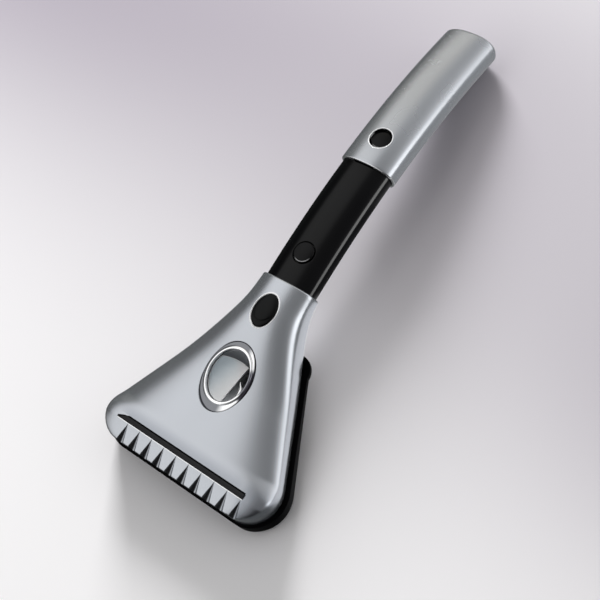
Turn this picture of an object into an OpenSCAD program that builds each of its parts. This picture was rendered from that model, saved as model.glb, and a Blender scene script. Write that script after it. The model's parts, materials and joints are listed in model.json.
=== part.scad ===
// Heated ice scraper with a flared head, an arched extension tube and a telescoping handle.
// Lengths are millimetres.  +Z is up, the scraping edge points to -Y and the handle to +Y.
// The tool stands on the lower edge of its blade and on the end of its handle.

/* [Arch] */
// Radius of the arch that the tube and the handle follow, at their centreline
arch_r = 505; // [420:5:700]
// Length of tube that shows between the neck and the handle
tube_show = 74; // [60:1:78]
// Distance along the arch from its crown forward to the neck's mouth
neck_ahead = 48.3; // [44:0.1:52]

/* [Handle] */
// Wall of the handle at its sides
handle_side = 1.15; // [1:0.05:3]
// Wall of the handle at its top and bottom, with the keyway cut in the top
handle_top = 1.95; // [1.85:0.05:3]
// Length of the handle along the arch
handle_l = 105; // [100:1:125]
// Radius of the rounding round the handle's end
end_round = 2.6; // [1:0.1:3.5]
// Length of the end cap's plug in the bore
end_plug_l = 2.8; // [1.5:0.1:3]
// Radius of the lock hole in the top of the handle
lock_hole_r = 6.3; // [6.1:0.1:6.8]
// Distance along the arch from the handle's mouth to the lock hole
lock_hole_back = 16.7; // [14:0.1:18]

/* [Extension tube] */
// Width of the tube
tube_w = 31; // [28:0.1:31.2]
// Height of the tube
tube_h = 15.6; // [14.5:0.1:15.8]
// Wall of the tube
tube_wall = 1.6; // [1.2:0.1:2]
// Length of tube that stays inside the handle when it is drawn out
tube_hold = 25.3; // [24.8:0.1:25.6]
// Length of tube inside the neck
tube_seat = 8; // [6:0.1:8.4]
// Exponent of the rounded section of tube, handle and neck, where 2 is an ellipse
section_power = 2.4; // [2:0.1:3.2]
// Gap round the tube inside the handle
slide_gap = 0.25; // [0.2:0.05:0.4]

/* [Snap buttons] */
// Radius of each snap button
snap_r = 5.7; // [5:0.1:5.9]
// How far a snap button stands above the tube's crown
snap_proud = 0.95; // [0.6:0.05:1.1]
// How far a snap button is pressed in
snap_travel = 1; // [0.6:0.1:1.2]
// Rise of the button's domed top
snap_dome = 0.5; // [0.3:0.1:0.6]

/* [Head] */
// Distance ahead of the crown to the front edge of the head
head_reach = 158.6; // [155:0.1:165]
// Wall of the neck at its sides, before the flare
neck_side = 0.85; // [0.4:0.05:2]
// Wall of the neck above and below the tube
neck_top = 2.2; // [1.8:0.1:3]
// Angle at which each side of the head opens out
flare_angle = 26.9; // [24:0.1:28]
// Distance ahead of the crown where the flare starts
flare_ahead = 62.8; // [61:0.1:66]
// Softness of the bend where the flare starts
flare_soft = 9.6; // [8:0.1:14]
// Radius of the two front corners in plan
corner_r = 16.3; // [13:0.1:19]
// Height of the deck above the ground at the squeegee
deck_h = 22.9; // [21.5:0.1:24.5]
// Fall of the deck towards the squeegee, in degrees
deck_fall = 3.6; // [2:0.1:5]
// Fall of the neck's top line, in degrees
neck_fall = 1.7; // [1:0.1:3]
// Fall of the ribbed lip ahead of the squeegee, in degrees
lip_fall = 15; // [8:1:20]
// Height of the shell's lower edge above the ground at the front
parting_h = 9; // [8.8:0.1:10.5]
// Rise of the shell's lower edge towards the neck, in degrees
parting_rise = 1.1; // [0.8:0.1:2]
// Height of the shell's upright side wall
side_h = 1; // [0.5:0.1:2.5]
// Wall of the head's shell
head_wall = 2.2; // [1.8:0.1:2.6]

/* [Base tray] */
// How far the base stands out past the shell all round
base_lip = 2.5; // [1:0.1:3]
// How far the base stands out past the shell at the front
base_toe = 1.5; // [0.8:0.1:2]
// Pitch of the base's underside, rising towards the handle, in degrees
base_pitch = 4.4; // [4:0.1:5]
// Distance ahead of the crown to the base's rear end
base_rear = 74; // [70:0.5:76]
// Radius of the base's rear corners in plan
base_rear_r = 9; // [6:0.5:11]
// Radius along the base's lower edges
base_edge_r = 1.6; // [1:0.1:2.4]
// Wall of the base
base_wall = 2; // [1.6:0.1:2.4]

/* [Blade and heater] */
// Width of the metal blade
blade_w = 78; // [70:1:79]
// Length of the metal blade from its edge to its back
blade_l = 17; // [15:0.5:20]
// Thickness of the metal blade
blade_t = 1.2; // [1:0.1:1.5]
// How far the blade stands below the base
blade_proud = 0.6; // [0.5:0.05:0.8]
// Angle at which the blade's edge is ground back from below, in degrees
blade_grind = 26; // [20:1:35]
// Width of the heating element
heater_w = 66; // [50:1:68]
// Length of the heating element along the tool
heater_l = 7; // [5:0.5:8]
// Thickness of the heating element
heater_t = 2.6; // [2:0.1:3]

/* [Squeegee and ribs] */
// Width of the squeegee strip across the head
strip_w = 85; // [76:1:88]
// Width of the strip's face along the tool
strip_l = 3.3; // [3:0.1:5]
// Distance from the head's front edge back to the strip
strip_back = 9.6; // [9.5:0.1:12]
// How far the strip stands above the deck
strip_proud = 1; // [0.6:0.1:1.6]
// Depth of the strip's foot in the shell
strip_foot = 2; // [1.6:0.1:2.1]
// How far one end of the strip is cut back on the slant
strip_slant = 5.5; // [0:0.5:6]
// Number of grooves in the lip
groove_count = 10; // [6:1:11]
// Spacing of the grooves
groove_pitch = 8.5; // [7:0.1:9]
// How far the row of grooves stands off the middle of the lip
groove_shift = 3.7; // [0:0.1:4]
// Width of a groove at the front edge
groove_w = 5.4; // [4:0.1:6.4]
// Depth of a groove at the front edge
groove_d = 2.4; // [1.5:0.1:3]

/* [Lamp] */
// Distance ahead of the crown to the bezel's centre
lamp_ahead = 104.1; // [102:0.1:106]
// Length of the lamp's bezel along the tool
bezel_l = 37.4; // [35:0.1:38.4]
// Width of the lamp's bezel
bezel_w = 28; // [27:0.1:29]
// Height of the bezel's rim above the deck
bezel_h = 0.9; // [0.6:0.1:1.4]
// Depth of the bezel's seat in the deck
bezel_seat = 0.4; // [0.3:0.05:0.6]
// Wall of the bezel's foot round the lens
bezel_wall = 0.8; // [0.6:0.1:0.9]
// Slope of the bezel along the tool, falling to the front, in degrees
lamp_tilt = 9.5; // [8.5:0.5:10.5]
// Length of the lens along the tool
lens_l = 27.4; // [25:0.1:29]
// Width of the lens
lens_w = 22.9; // [21:0.1:24]
// Distance from the bezel's centre back to the lens's centre
lens_back = 0.7; // [0:0.1:1.2]
// Thickness of the lamp's lens
lens_t = 1.4; // [1:0.1:2]
// Depth of the lamp's reflector
reflector_d = 6; // [4:0.5:7]

/* [Power button] */
// Distance ahead of the crown to the button's centre
button_ahead = 67.2; // [66:0.1:69]
// Length of the button's opening along the tool
button_hole_l = 18.2; // [16:0.1:20]
// Width of the button's opening
button_hole_w = 13.3; // [11:0.1:15]
// Gap round the button
button_gap = 0.35; // [0.25:0.05:0.5]
// How far the button is pressed in
button_travel = 1.2; // [0.8:0.1:1.5]
// Rise of the button's domed top
button_dome = 1; // [0.6:0.1:1.4]
// Lean of the button's axis to the front, in degrees
button_lean = 4; // [2:0.5:6]
// Bevel round the openings for the buttons
rim_bevel = 0.5; // [0.3:0.1:0.8]

/* [Hidden] */

// Clearance between seated pieces, a small gap for glued faces, and the overrun of every cut
fit = 0.2;
seat = 0.05;
over = 1;
// Faces round small and large round forms, and round a full turn of the arch
small_fn = 32;
round_fn = 64;
arch_fn = 1080;
// Points round a rounded section and round an oval
section_n = 48;
oval_n = 48;

// Outer sizes that follow the tube's
handle_w = tube_w + (slide_gap + handle_side) * 2;
handle_h = tube_h + (slide_gap + handle_top) * 2;
neck_w = tube_w + neck_side * 2;
neck_h = tube_h + neck_top * 2;

// Places along the arch: handle mouth, lock hole, handle end, both ends of the tube, snap buttons
mouth_s = tube_show - neck_ahead;
lock_s = mouth_s + lock_hole_back;
end_s = mouth_s + handle_l;
tube_front_s = -neck_ahead - tube_seat;
tube_rear_s = mouth_s + tube_hold;
mouth_gap = 0.7;
cap_skin = end_round + fit;
bore_end_s = end_s - cap_skin - end_plug_l;
slide_travel = min(tube_show, bore_end_s - tube_rear_s) - mouth_gap;
front_snap_s = lock_s - slide_travel;
rear_snap_s = lock_s;

// The handle's rounded end stands on the ground, which sets the height of the crown
rest_turn = turn(end_s - end_round);
crown_z = arch_r + end_round - (arch_r - handle_h / 2 + end_round) * cos(rest_turn);
// The whole length is centred on the origin
rear_r = arch_r + handle_h / 2 - end_round;
rear_y = rear_r * sin(turn(end_s - end_round)) + end_round * rear_r / arch_r;
crown_y = (head_reach + base_toe - rear_y) / 2;

// Handle: bore, keyway for the snap buttons, and the end of the bore
bore_w = tube_w + slide_gap * 2;
bore_h = tube_h + slide_gap * 2;
keyway_w = snap_r * 2 + slide_gap * 4;
keyway_top = tube_h / 2 + snap_proud + slide_gap;
cap_steps = 5;

// Snap buttons: flange under the tube's wall, and the leaf springs below
snap_ledge = 0.9;
snap_flange_r = snap_r + snap_ledge;
snap_flange_t = 1.2;
snap_flange_top = tube_h / 2 - tube_wall - snap_proud + fit;
leaf_w = 6;
leaf_t = 0.4;
leaf_l = 13;

// Neck joiner: a hollow spigot inside the tube with a tongue that is screwed into the head
joiner_wall = 1.5;
joiner_in = 6;
joiner_tongue = 17;
joiner_root = 2;
joiner_t = 2.4;
joiner_lift = 1.3;
joiner_w = 15;
joiner_screw_x = 4.8;
joiner_screw_out = 11;
screw_r = 1.25;
screw_head_r = 2.5;
screw_head_t = 1.6;
screw_l = 12;
short_screw_l = 3.4;

// Lamp: the bezel's foot through the deck, and the height of the lens's edge above it
foot_w = lens_w + bezel_wall * 2;
foot_l = lens_l + bezel_wall * 2;
lens_edge = bezel_h * 0.4;

// Boards
board_t = 1.2;
post_r = 1.5;
control_w = 36;
control_l = 24;
control_ahead = 104;
lamp_board_w = 16;
lamp_board_l = 20;
led_r = 1.8;
led_h = 1.4;
switch_board_w = 24;
switch_board_l = 15;
switch_w = 6;
switch_h = 2.4;
switch_stem_r = 1.2;

// Power button's flange under the shell, and the switch board's depth below the neck's top line
flange_drop = 0.9;
flange_t = 1.2;
flange_out = 1.4;
switch_drop = head_wall + flange_drop + flange_t + button_travel + seat + switch_h + board_t;

// Wires and contacts
lead_r = 0.8;
lead_gap = 9;
lead_drop = 0.9;
contact_r = 2.2;
contact_t = 0.8;
contact_gap = 9;
contact_ahead = 84;

// Battery: two cells side by side, with a contact strip at each end
cell_r = 5;
cell_l = 44;
cell_s = (front_snap_s + rear_snap_s) / 2;
cell_gap = 0.4;
strip_t = 0.4;
nub_r = 1.8;
nub_l = 0.8;

// Lip, shoulder and blending of the head
lip_power = 12;
deck_power = 3;
shell_power_low = 7;
blend_near = 62;
blend_far = 108;
under_near = 52;
under_far = 67;
front_solid = 13;

// Angle along the arch, in degrees
function turn(s) = s / arch_r * 180 / PI;
// Height of the arch's centreline above the ground at a distance ahead of the crown
function arch_z(a) = crown_z - arch_r + sqrt(arch_r * arch_r - a * a);
function mix(a, b, t) = a + (b - a) * t;
function clamp01(t) = max(0, min(1, t));
function ease(t) = let (u = clamp01(t)) u * u * (3 - 2 * u);
function power(v, p) = sign(v) * pow(abs(v), 2 / p);

// Rounded section of a width and a height, as points round the full turn
function section(w, h, p = section_power, n = section_n) =
  [for (i = [0:n - 1]) let (t = 360 * i / n) [w / 2 * power(cos(t), p), h / 2 * power(sin(t), p)]];

// Half width of the head at a distance ahead of the crown: the neck, then the straight flare
function side(a, lip = 0) =
  let (t = a - flare_ahead)
  neck_w / 2 + lip / cos(flare_angle) + tan(flare_angle) * (t + sqrt(t * t + flare_soft * flare_soft)) / 2;
corner_ahead = head_reach - corner_r;
corner_x = side(corner_ahead) - corner_r / cos(flare_angle);
corner_start = corner_ahead - corner_r * sin(flare_angle);
// Half width with the two front corners rounded
function half(a, lip = 0) =
  a < corner_start ? side(a, lip)
  : corner_x + sqrt(max(0, pow(corner_r + lip, 2) - pow(a - corner_ahead, 2)));

// Base screws: the front pair beside the blade's rear corners, the rear pair inside the narrow end
boss_r = 3.2;
base_front = head_reach + base_toe;
front_screw_a = base_front - blade_l - boss_r;
rear_screw_a = base_rear + boss_r * 4;
base_screw_spots = [
  [front_screw_a, blade_w / 2 + boss_r + over], [rear_screw_a, half(rear_screw_a) - boss_r * 3]
];

// Heights along the head, all above the ground
function neck_line(a) = arch_z(neck_ahead) + neck_h / 2 - (a - neck_ahead) * tan(neck_fall);
function deck_line(a) = deck_h + (head_reach - strip_back - a) * tan(deck_fall);
function lip_line(a) = deck_h - (a - head_reach + strip_back) * tan(lip_fall);
function top_z(a) =
  a > head_reach - strip_back ? lip_line(a)
  : mix(neck_line(a), deck_line(a), ease((a - blend_near) / (blend_far - blend_near)));
function parting_z(a) = parting_h + (head_reach - a) * tan(parting_rise);
function neck_low(a) = arch_z(a) - neck_h / 2;
function low_z(a) =
  mix(neck_low(a), parting_z(a), ease((a - under_near) / (under_far - under_near)));
function mid_z(a) =
  mix(arch_z(a), parting_z(a) + side_h, ease((a - under_near) / (blend_far - under_near)));
function base_z(a) = blade_proud + (head_reach + base_toe - a) * tan(base_pitch);
// Share of the way from the neck to the wide part, and the section's exponents there
function spread(a) = ease((a - neck_ahead) / (blend_far - neck_ahead));
function top_power(a) =
  mix(mix(section_power, deck_power, spread(a)), lip_power,
      ease((a - corner_start) / (head_reach - corner_start)));
function low_power(a) = mix(section_power, shell_power_low, spread(a));
// Lean of a section's plane, square to the arch at the neck and upright further on
function lean(a) = turn(neck_ahead) * (1 - spread(a));

// Section of the head's shell, drawn in by a wall, with its floor dropped by a cut
function shell_ring(a, wall = 0, drop = 0, n = section_n) =
  let (b = half(a) - wall, m = mid_z(a), up = top_z(a) - wall - m, dn = m - low_z(a) - wall + drop)
  [for (i = [0:n - 1])
    let (t = 360 * i / n, c = cos(t), s = sin(t),
         p = s >= 0 ? top_power(a) : low_power(a),
         z = s >= 0 ? up * power(s, p) : dn * power(s, p))
    [b * power(c, p), crown_y - a - z * tan(lean(a)), m + z]];

// Distances ahead of the crown at which the head's sections are taken
corner_steps = 9;
flare_steps = 17;
corner_turns = [for (i = [0:corner_steps]) 90 - (90 + flare_angle) * i / corner_steps];
flare_places = [for (i = [1:flare_steps]) mix(corner_start, neck_ahead, i / flare_steps)];
head_places = concat([for (t = corner_turns) corner_ahead + corner_r * sin(t)], flare_places);

// Solid skin through a list of rings with equal numbers of points, its ends closed.
// Seen from outside its first end, each ring runs counter-clockwise.
module loft(rings) {
  n = len(rings[0]);
  m = len(rings);
  points = [for (r = rings) for (p = r) p];
  walls = [for (j = [0:m - 2]) for (i = [0:n - 1]) let (k = (i + 1) % n)
    each [[j * n + i, j * n + k, (j + 1) * n + k], [j * n + i, (j + 1) * n + k, (j + 1) * n + i]]];
  ends = [[for (i = [n - 1:-1:0]) i], [for (i = [0:n - 1]) (m - 1) * n + i]];
  polyhedron(points = points, faces = concat(walls, ends), convexity = 8);
}

// Closed skin whose last ring joins its first
module loft_round(rings) {
  n = len(rings[0]);
  m = len(rings);
  points = [for (r = rings) for (p = r) p];
  walls = [for (j = [0:m - 1]) for (i = [0:n - 1]) let (k = (i + 1) % n, o = (j + 1) % m)
    each [[j * n + i, j * n + k, o * n + k], [j * n + i, o * n + k, o * n + i]]];
  polyhedron(points = points, faces = walls, convexity = 8);
}

// Puts what follows at a place along the arch, with its +Z square to the arch
module at_arch(s, lift = 0) {
  translate([0, crown_y, crown_z - arch_r])
    rotate([-turn(s), 0, 0]) translate([0, 0, arch_r + lift]) children();
}

// Sweeps a flat section, drawn as [height, width], along the arch between two places
module sweep(s0, s1) {
  translate([0, crown_y, crown_z - arch_r])
    rotate([0, -90, 0])
      rotate([0, 0, turn(s0)])
        rotate_extrude(angle = turn(s1) - turn(s0), $fn = arch_fn) translate([arch_r, 0]) children();
}

// Flat section of the tube or the handle for sweep
module section_flat(w, h) {
  polygon([for (p = section(w, h)) [p[1], p[0]]]);
}

module oval_prism(w, l, h) {
  linear_extrude(height = h) polygon(section(w, l, 2, oval_n));
}

// Puts what follows on the head's deck at a distance ahead of the crown
module on_deck(a, tilt, lift = 0) {
  translate([0, crown_y - a, top_z(a)]) rotate([tilt, 0, 0]) translate([0, 0, lift]) children();
}

// Puts what follows on the base's underside, with +Z up through the base
module on_sole(a, lift = 0) {
  translate([0, crown_y - a, base_z(a)]) rotate([base_pitch, 0, 0]) translate([0, 0, lift]) children();
}

module base_screw_places() {
  for (spot = base_screw_spots, m = [-1, 1]) on_sole(spot[0]) translate([m * spot[1], 0, 0]) children();
}

// One groove of the lip: a rounded channel that starts at the squeegee and opens towards the front edge
groove_steps = 4;
module groove(x) {
  back = head_reach - strip_back;
  run = strip_back + base_toe;
  front_z = lip_line(head_reach + base_toe);
  grow = run / strip_back;
  shares = [for (i = [-groove_steps:groove_steps]) i / (groove_steps - 1)];
  loft([
    [for (v = shares)
      [x + v * groove_w / 2 * grow, crown_y - back - run, front_z + (v * v - 1) * groove_d * grow]],
    [for (v = shares) [x + v * fit / 2, crown_y - back, deck_h + v * v * fit]]
  ]);
}

// Hollow of the shell: open below over the base, closed round the neck
module shell_hollow() {
  open_from = base_rear + base_wall * 3;
  loft([for (i = [0:flare_steps])
    let (a = mix(head_reach - front_solid, neck_ahead + tube_seat, i / flare_steps))
    shell_ring(a, head_wall, a > open_from ? head_wall + over : 0, small_fn)]);
}

module head_shell() color("silver") difference() {
  union() {
    difference() {
      loft([for (a = head_places) shell_ring(a)]);
      shell_hollow();
    }
    shell_bosses();
  }
  // socket for the tube
  sweep(tube_front_s - over, -neck_ahead + over) section_flat(tube_w + seat * 2, tube_h + seat * 2);
  for (i = [0:groove_count - 1]) groove(groove_shift + (i - (groove_count - 1) / 2) * groove_pitch);
  strip_slot();
  on_lamp(-head_wall * 2) oval_prism(foot_w + seat * 2, foot_l + seat * 2, head_wall * 4);
  on_deck(lamp_ahead, lamp_tilt, -bezel_seat)
    oval_prism(bezel_w + seat * 2, bezel_l + seat * 2, head_wall * 2);
  on_deck(button_ahead, button_lean, -head_wall * 2) oval_prism(button_hole_w, button_hole_l, head_wall * 4);
  on_deck(button_ahead, button_lean) loft([
    oval_ring(button_hole_w + rim_bevel * 4, button_hole_l + rim_bevel * 4, rim_bevel),
    oval_ring(button_hole_w, button_hole_l, -rim_bevel)
  ]);
  base_screw_places() translate([0, 0, base_wall]) cylinder(r = screw_r + seat, h = screw_l, $fn = small_fn);
  joiner_screw_places() cylinder(r = screw_r + seat, h = joiner_t + short_screw_l, $fn = small_fn);
}

// Height of the deck beside its centreline
function deck_at(a, x) =
  mid_z(a) + (top_z(a) - mid_z(a)) * pow(1 - pow(x / half(a), top_power(a)), 1 / top_power(a));

// Screw bosses hang from the shell's deck and meet the base's bosses, and two posts carry the switch board
module shell_bosses() {
  post_h = switch_drop - board_t - seat - head_wall / 2;
  for (m = [-1, 1]) on_deck(button_ahead, button_lean, -head_wall / 2 - post_h)
    translate([m * (switch_board_w / 2 - post_r), 0, 0])
      cylinder(r = post_r, h = post_h - head_wall / 2, $fn = small_fn);
  for (spot = base_screw_spots, m = [-1, 1]) {
    a = spot[0];
    on_sole(a) translate([m * spot[1], 0, parting_z(a) - base_z(a) + fit])
      cylinder(r = boss_r, h = deck_at(a, spot[1]) - parting_z(a) - head_wall / 2, $fn = small_fn);
  }
}

// Outline of the strip from above, one end cut on the slant
module strip_plan(gap) {
  linear_extrude(height = strip_foot * 3) polygon([
    [gap - strip_w / 2, gap], [strip_w / 2 - gap, gap], [strip_w / 2 - gap, strip_l - gap],
    [gap + strip_slant - strip_w / 2, strip_l - gap]
  ]);
}

module strip_slot() {
  on_deck(head_reach - strip_back, deck_fall, -strip_foot) strip_plan(0);
}

// Rubber strip: a foot in the slot and a blade with a sharp rear edge and a sloping face
module squeegee_strip() color("#2b2b2d") on_deck(head_reach - strip_back, deck_fall) {
  l = strip_l - seat * 2;
  intersection() {
    translate([-strip_w / 2, seat, 0]) rotate([90, 0, 90]) linear_extrude(height = strip_w) polygon([
      [0, seat - strip_foot], [l, seat - strip_foot], [l, strip_proud], [l * 0.9, strip_proud * 1.2],
      [0, strip_proud * 0.5]
    ]);
    translate([0, 0, -strip_foot]) strip_plan(seat);
  }
}

// Section of the base: upright sides, rounded lower edges and a flat top at the parting line
base_arc_steps = 4;
function base_half(a, lip) =
  let (r = base_rear_r, c = base_rear + r)
  a < c ? side(c, lip) - r + sqrt(max(0, r * r - pow(a - c, 2))) : half(a, lip);
function base_ring(a, lip, wall = 0, top = 0) =
  let (b = base_half(a, lip) - wall, z0 = base_z(a) + wall, z1 = parting_z(a) - seat + top, r = base_edge_r)
  concat(
    [[b, crown_y - a, z1], [-b, crown_y - a, z1]],
    [for (i = [0:base_arc_steps]) let (t = 90 * i / base_arc_steps)
      [-b + r - r * cos(t), crown_y - a, z0 + r - r * sin(t)]],
    [for (i = [base_arc_steps:-1:0]) let (t = 90 * i / base_arc_steps)
      [b - r + r * cos(t), crown_y - a, z0 + r - r * sin(t)]]);
base_corner_places = [for (t = corner_turns) corner_ahead + (base_front - corner_ahead) * sin(t)];
base_rear_places =
  [for (i = [1:base_arc_steps * 2]) base_rear + base_rear_r * (1 - sin(90 * i / base_arc_steps / 2))];
base_mid_steps = 8;
base_places = concat(
  base_corner_places,
  [for (i = [1:base_mid_steps]) mix(min(base_corner_places), base_rear + base_rear_r, i / base_mid_steps)],
  base_rear_places);

module head_base() color("#141416") difference() {
  union() {
    difference() {
      loft([for (a = base_places) base_ring(a, base_front_lip(a))]);
      base_hollow();
    }
    base_bosses();
  }
  // recess and window for the blade and its heater
  on_sole(base_front, -over) translate([-blade_w / 2 - fit, -over, 0])
    cube([blade_w + fit * 2, blade_l + over + fit, over + blade_t - blade_proud]);
  start = (blade_l - heater_l) / 2 - fit;
  on_sole(base_front, -over) translate([-heater_w / 2 - fit, start, 0])
    cube([heater_w + fit * 2, heater_l + fit * 2, parting_h]);
  on_sole(base_front, base_wall * 2) translate([-heater_w / 2 - fit, start, 0])
    cube([heater_w + fit * 2, base_front - hollow_front + over - start, parting_h]);
  base_screw_places() {
    translate([0, 0, -over]) cylinder(r = screw_r + fit, h = parting_h + over, $fn = small_fn);
    translate([0, 0, -over]) cylinder(r = screw_head_r + fit, h = screw_head_t + over, $fn = small_fn);
  }
  for (m = [-1, 1]) on_sole(contact_ahead, -over) translate([m * contact_gap / 2, 0, 0])
    cylinder(r = contact_r, h = base_wall + over * 2, $fn = small_fn);
}

// Four posts carry the control board and two bosses on each side take the screws
module base_bosses() {
  for (m = [-1, 1], n = [-1, 1]) on_sole(control_ahead, base_wall / 2)
    translate([m * (control_w / 2 - post_r * 2), n * (control_l / 2 - post_r * 2), 0])
      cylinder(r = post_r, h = base_wall / 2 + board_t - seat, $fn = small_fn);
  for (spot = base_screw_spots, m = [-1, 1]) {
    a = spot[0];
    on_sole(a) translate([m * spot[1], 0, base_wall / 2])
      cylinder(r = boss_r, h = parting_z(a) - base_z(a) - base_wall / 2 - fit, $fn = small_fn);
  }
}

// The base stands out a little more at the toe than round the sides
function base_front_lip(a) = mix(base_lip, base_toe, ease((a - corner_ahead) / corner_r));

// Hollow behind the solid web that carries the blade
inner_places = [for (a = base_places) if (a < head_reach - front_solid && a > base_rear + base_wall) a];
hollow_front = max(inner_places);
module base_hollow() {
  loft([for (a = inner_places) base_ring(a, 0, base_wall, over)]);
}

module scraper_blade() color("#b9bcc0") on_sole(base_front, -blade_proud)
  difference() {
    translate([-blade_w / 2, fit, 0]) cube([blade_w, blade_l - fit, blade_t]);
    // the edge is ground back from below
    translate([-blade_w / 2 - over, fit, blade_t / 2]) rotate([-90 + blade_grind, 0, 0])
      translate([0, -blade_t * 2, -blade_t * 3]) cube([blade_w + over * 2, blade_t * 2, blade_t * 3]);
  }

module heater_bar() color("#e9e4d8") on_sole(base_front, blade_t - blade_proud + seat)
  translate([-heater_w / 2, (blade_l - heater_l) / 2, 0]) cube([heater_w, heater_l, heater_t]);

module heater_cover() color("#5a4a3a") on_sole(base_front, blade_t - blade_proud + heater_t + seat * 2)
  translate([-heater_w / 2, (blade_l - heater_l) / 2, 0]) cube([heater_w, heater_l, base_wall]);

module thermal_cutout() color("#d8d8da")
  on_sole(base_front, blade_t - blade_proud + heater_t + base_wall + seat * 3)
  translate([0, blade_l / 2, 0]) rotate([0, 90, 0]) translate([-lead_r * 1.5, 0, -heater_l / 2])
    cylinder(r = lead_r * 1.5, h = heater_l, $fn = small_fn);

// Puts what follows at the lens's centre, level with the bezel
module on_lamp(lift) {
  on_deck(lamp_ahead, lamp_tilt, lift) translate([0, lens_back, 0]) children();
}

// Ring of an oval with a size and a height
function oval_ring(w, l, z, back = 0) = [for (p = section(w, l, 2, oval_n)) [p[0], p[1] + back, z]];
// Ring of the bezel, from its outer oval at 0 to the lens's oval at 1
function bezel_ring(t, z) = oval_ring(mix(bezel_w, lens_w, t), mix(bezel_l, lens_l, t), z, lens_back * t);

// A dished oval ring: raised edge, hollow face, rounded rim and a foot through the deck round the lens
module lens_bezel() color("#e6e8ea") on_deck(lamp_ahead, lamp_tilt) {
  foot = -head_wall;
  low = seat - bezel_seat;
  loft_round([
    bezel_ring(1, foot), bezel_ring(1, lens_edge), bezel_ring(0.9, bezel_h * 0.85),
    bezel_ring(0.82, bezel_h), bezel_ring(0.74, bezel_h * 0.95), bezel_ring(0.6, bezel_h * 0.7),
    bezel_ring(0.3, bezel_h * 0.65), bezel_ring(0.06, bezel_h), bezel_ring(0, bezel_h * 0.9),
    bezel_ring(0, low), oval_ring(foot_w, foot_l, low, lens_back), oval_ring(foot_w, foot_l, foot, lens_back)
  ]);
}

// Low dome inside the bezel
module lamp_lens() color("#c9d2da") on_lamp(lens_edge) {
  w = lens_w - fit;
  l = lens_l - fit;
  loft([
    oval_ring(w * 0.3, l * 0.3, lens_t * 0.3), oval_ring(w * 0.6, l * 0.6, lens_t * 0.22),
    oval_ring(w * 0.85, l * 0.85, lens_t * 0.1), oval_ring(w, l, 0), oval_ring(w, l, -lens_t * 0.7)
  ]);
}

module lamp_reflector() color("#d9dadd") on_lamp(-head_wall - reflector_d) {
  w = foot_w - fit;
  l = foot_l - fit;
  throat = (led_r + fit) * 2;
  loft_round([
    oval_ring(throat, throat, 0), oval_ring(w * 0.9, l * 0.9, reflector_d),
    oval_ring(w, l, reflector_d), oval_ring(throat * 2, throat * 2, 0)
  ]);
}

module lamp_board() color("#2f6b3c") on_lamp(-head_wall - reflector_d - board_t - seat) {
  translate([-lamp_board_w / 2, -lamp_board_l / 2, 0]) cube([lamp_board_w, lamp_board_l, board_t]);
  cylinder(r = led_r, h = board_t + led_h, $fn = small_fn);
}

module control_board() color("#2f6b3c") on_sole(control_ahead, base_wall + board_t) {
  translate([-control_w / 2, -control_l / 2, 0]) cube([control_w, control_l, board_t]);
  // power transistor, controller and capacitor
  translate([-control_w / 3, -control_l / 4, 0]) cube([switch_w, switch_w, board_t + led_h]);
  translate([control_w / 8, -control_l / 3, 0]) cube([switch_w, switch_w, board_t + led_h / 2]);
  translate([control_w / 3, control_l / 4, 0]) cylinder(r = led_r, h = board_t + led_h, $fn = small_fn);
}

module switch_board() color("#2f6b3c") on_deck(button_ahead, button_lean, -switch_drop) {
  translate([-switch_board_w / 2, -switch_board_l / 2, 0]) cube([switch_board_w, switch_board_l, board_t]);
  translate([-switch_w / 2, -switch_w / 2, 0]) cube([switch_w, switch_w, board_t + switch_h * 0.6]);
  cylinder(r = switch_stem_r, h = board_t + switch_h, $fn = small_fn);
}

module power_button() color("#18181a") on_deck(button_ahead, button_lean) {
  w = button_hole_w - button_gap * 2;
  l = button_hole_l - button_gap * 2;
  // low dome, body in the opening, and a flange inside the shell that presses the switch below it
  under = -head_wall - flange_drop;
  loft([
    oval_ring(w * 0.5, l * 0.6, button_dome), oval_ring(w * 0.9, l * 0.92, button_dome * 0.6),
    oval_ring(w, l, 0), oval_ring(w, l, under), oval_ring(w + flange_out, l + flange_out, under),
    oval_ring(w + flange_out, l + flange_out, under - flange_t)
  ]);
}

module neck_joiner() color("#26262a") {
  w = tube_w - tube_wall * 2 - seat * 2;
  h = tube_h - tube_wall * 2 - seat * 2;
  difference() {
    sweep(tube_front_s, tube_front_s + tube_seat + joiner_in) section_flat(w, h);
    sweep(tube_front_s - over, tube_front_s + tube_seat + joiner_in + over)
      section_flat(w - joiner_wall * 2, h - joiner_wall * 2);
  }
  difference() {
    on_tongue() translate([-joiner_w / 2, -joiner_tongue, 0])
      cube([joiner_w, joiner_tongue + joiner_root, joiner_t]);
    joiner_screw_places() cylinder(r = screw_r + fit, h = joiner_t + short_screw_l, $fn = small_fn);
  }
}

// Puts what follows on the underside of the joiner's level tongue, at the tube's front end
module on_tongue() {
  at_arch(tube_front_s, -tube_h / 2 + tube_wall + joiner_lift) rotate([turn(tube_front_s), 0, 0]) children();
}

// Each screw starts above the tongue and points down
module joiner_screw_places() {
  for (m = [-1, 1]) on_tongue()
    translate([m * joiner_screw_x, -joiner_screw_out, joiner_t + seat]) rotate([180, 0, 0]) children();
}

// Countersunk screw with its head down
module screw(l) {
  cylinder(r1 = screw_head_r, r2 = screw_r, h = screw_head_t, $fn = small_fn);
  cylinder(r = screw_r, h = l, $fn = small_fn);
}

// Screw with a low round head above the piece that it holds
module pan_screw(l) {
  translate([0, 0, -screw_head_t]) cylinder(r = screw_head_r, h = screw_head_t, $fn = small_fn);
  cylinder(r = screw_r, h = l, $fn = small_fn);
}

module joiner_screws() color("#8d8f94")
  joiner_screw_places() pan_screw(short_screw_l);

module base_screws() color("#8d8f94") base_screw_places() translate([0, 0, seat]) screw(screw_l);

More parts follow.
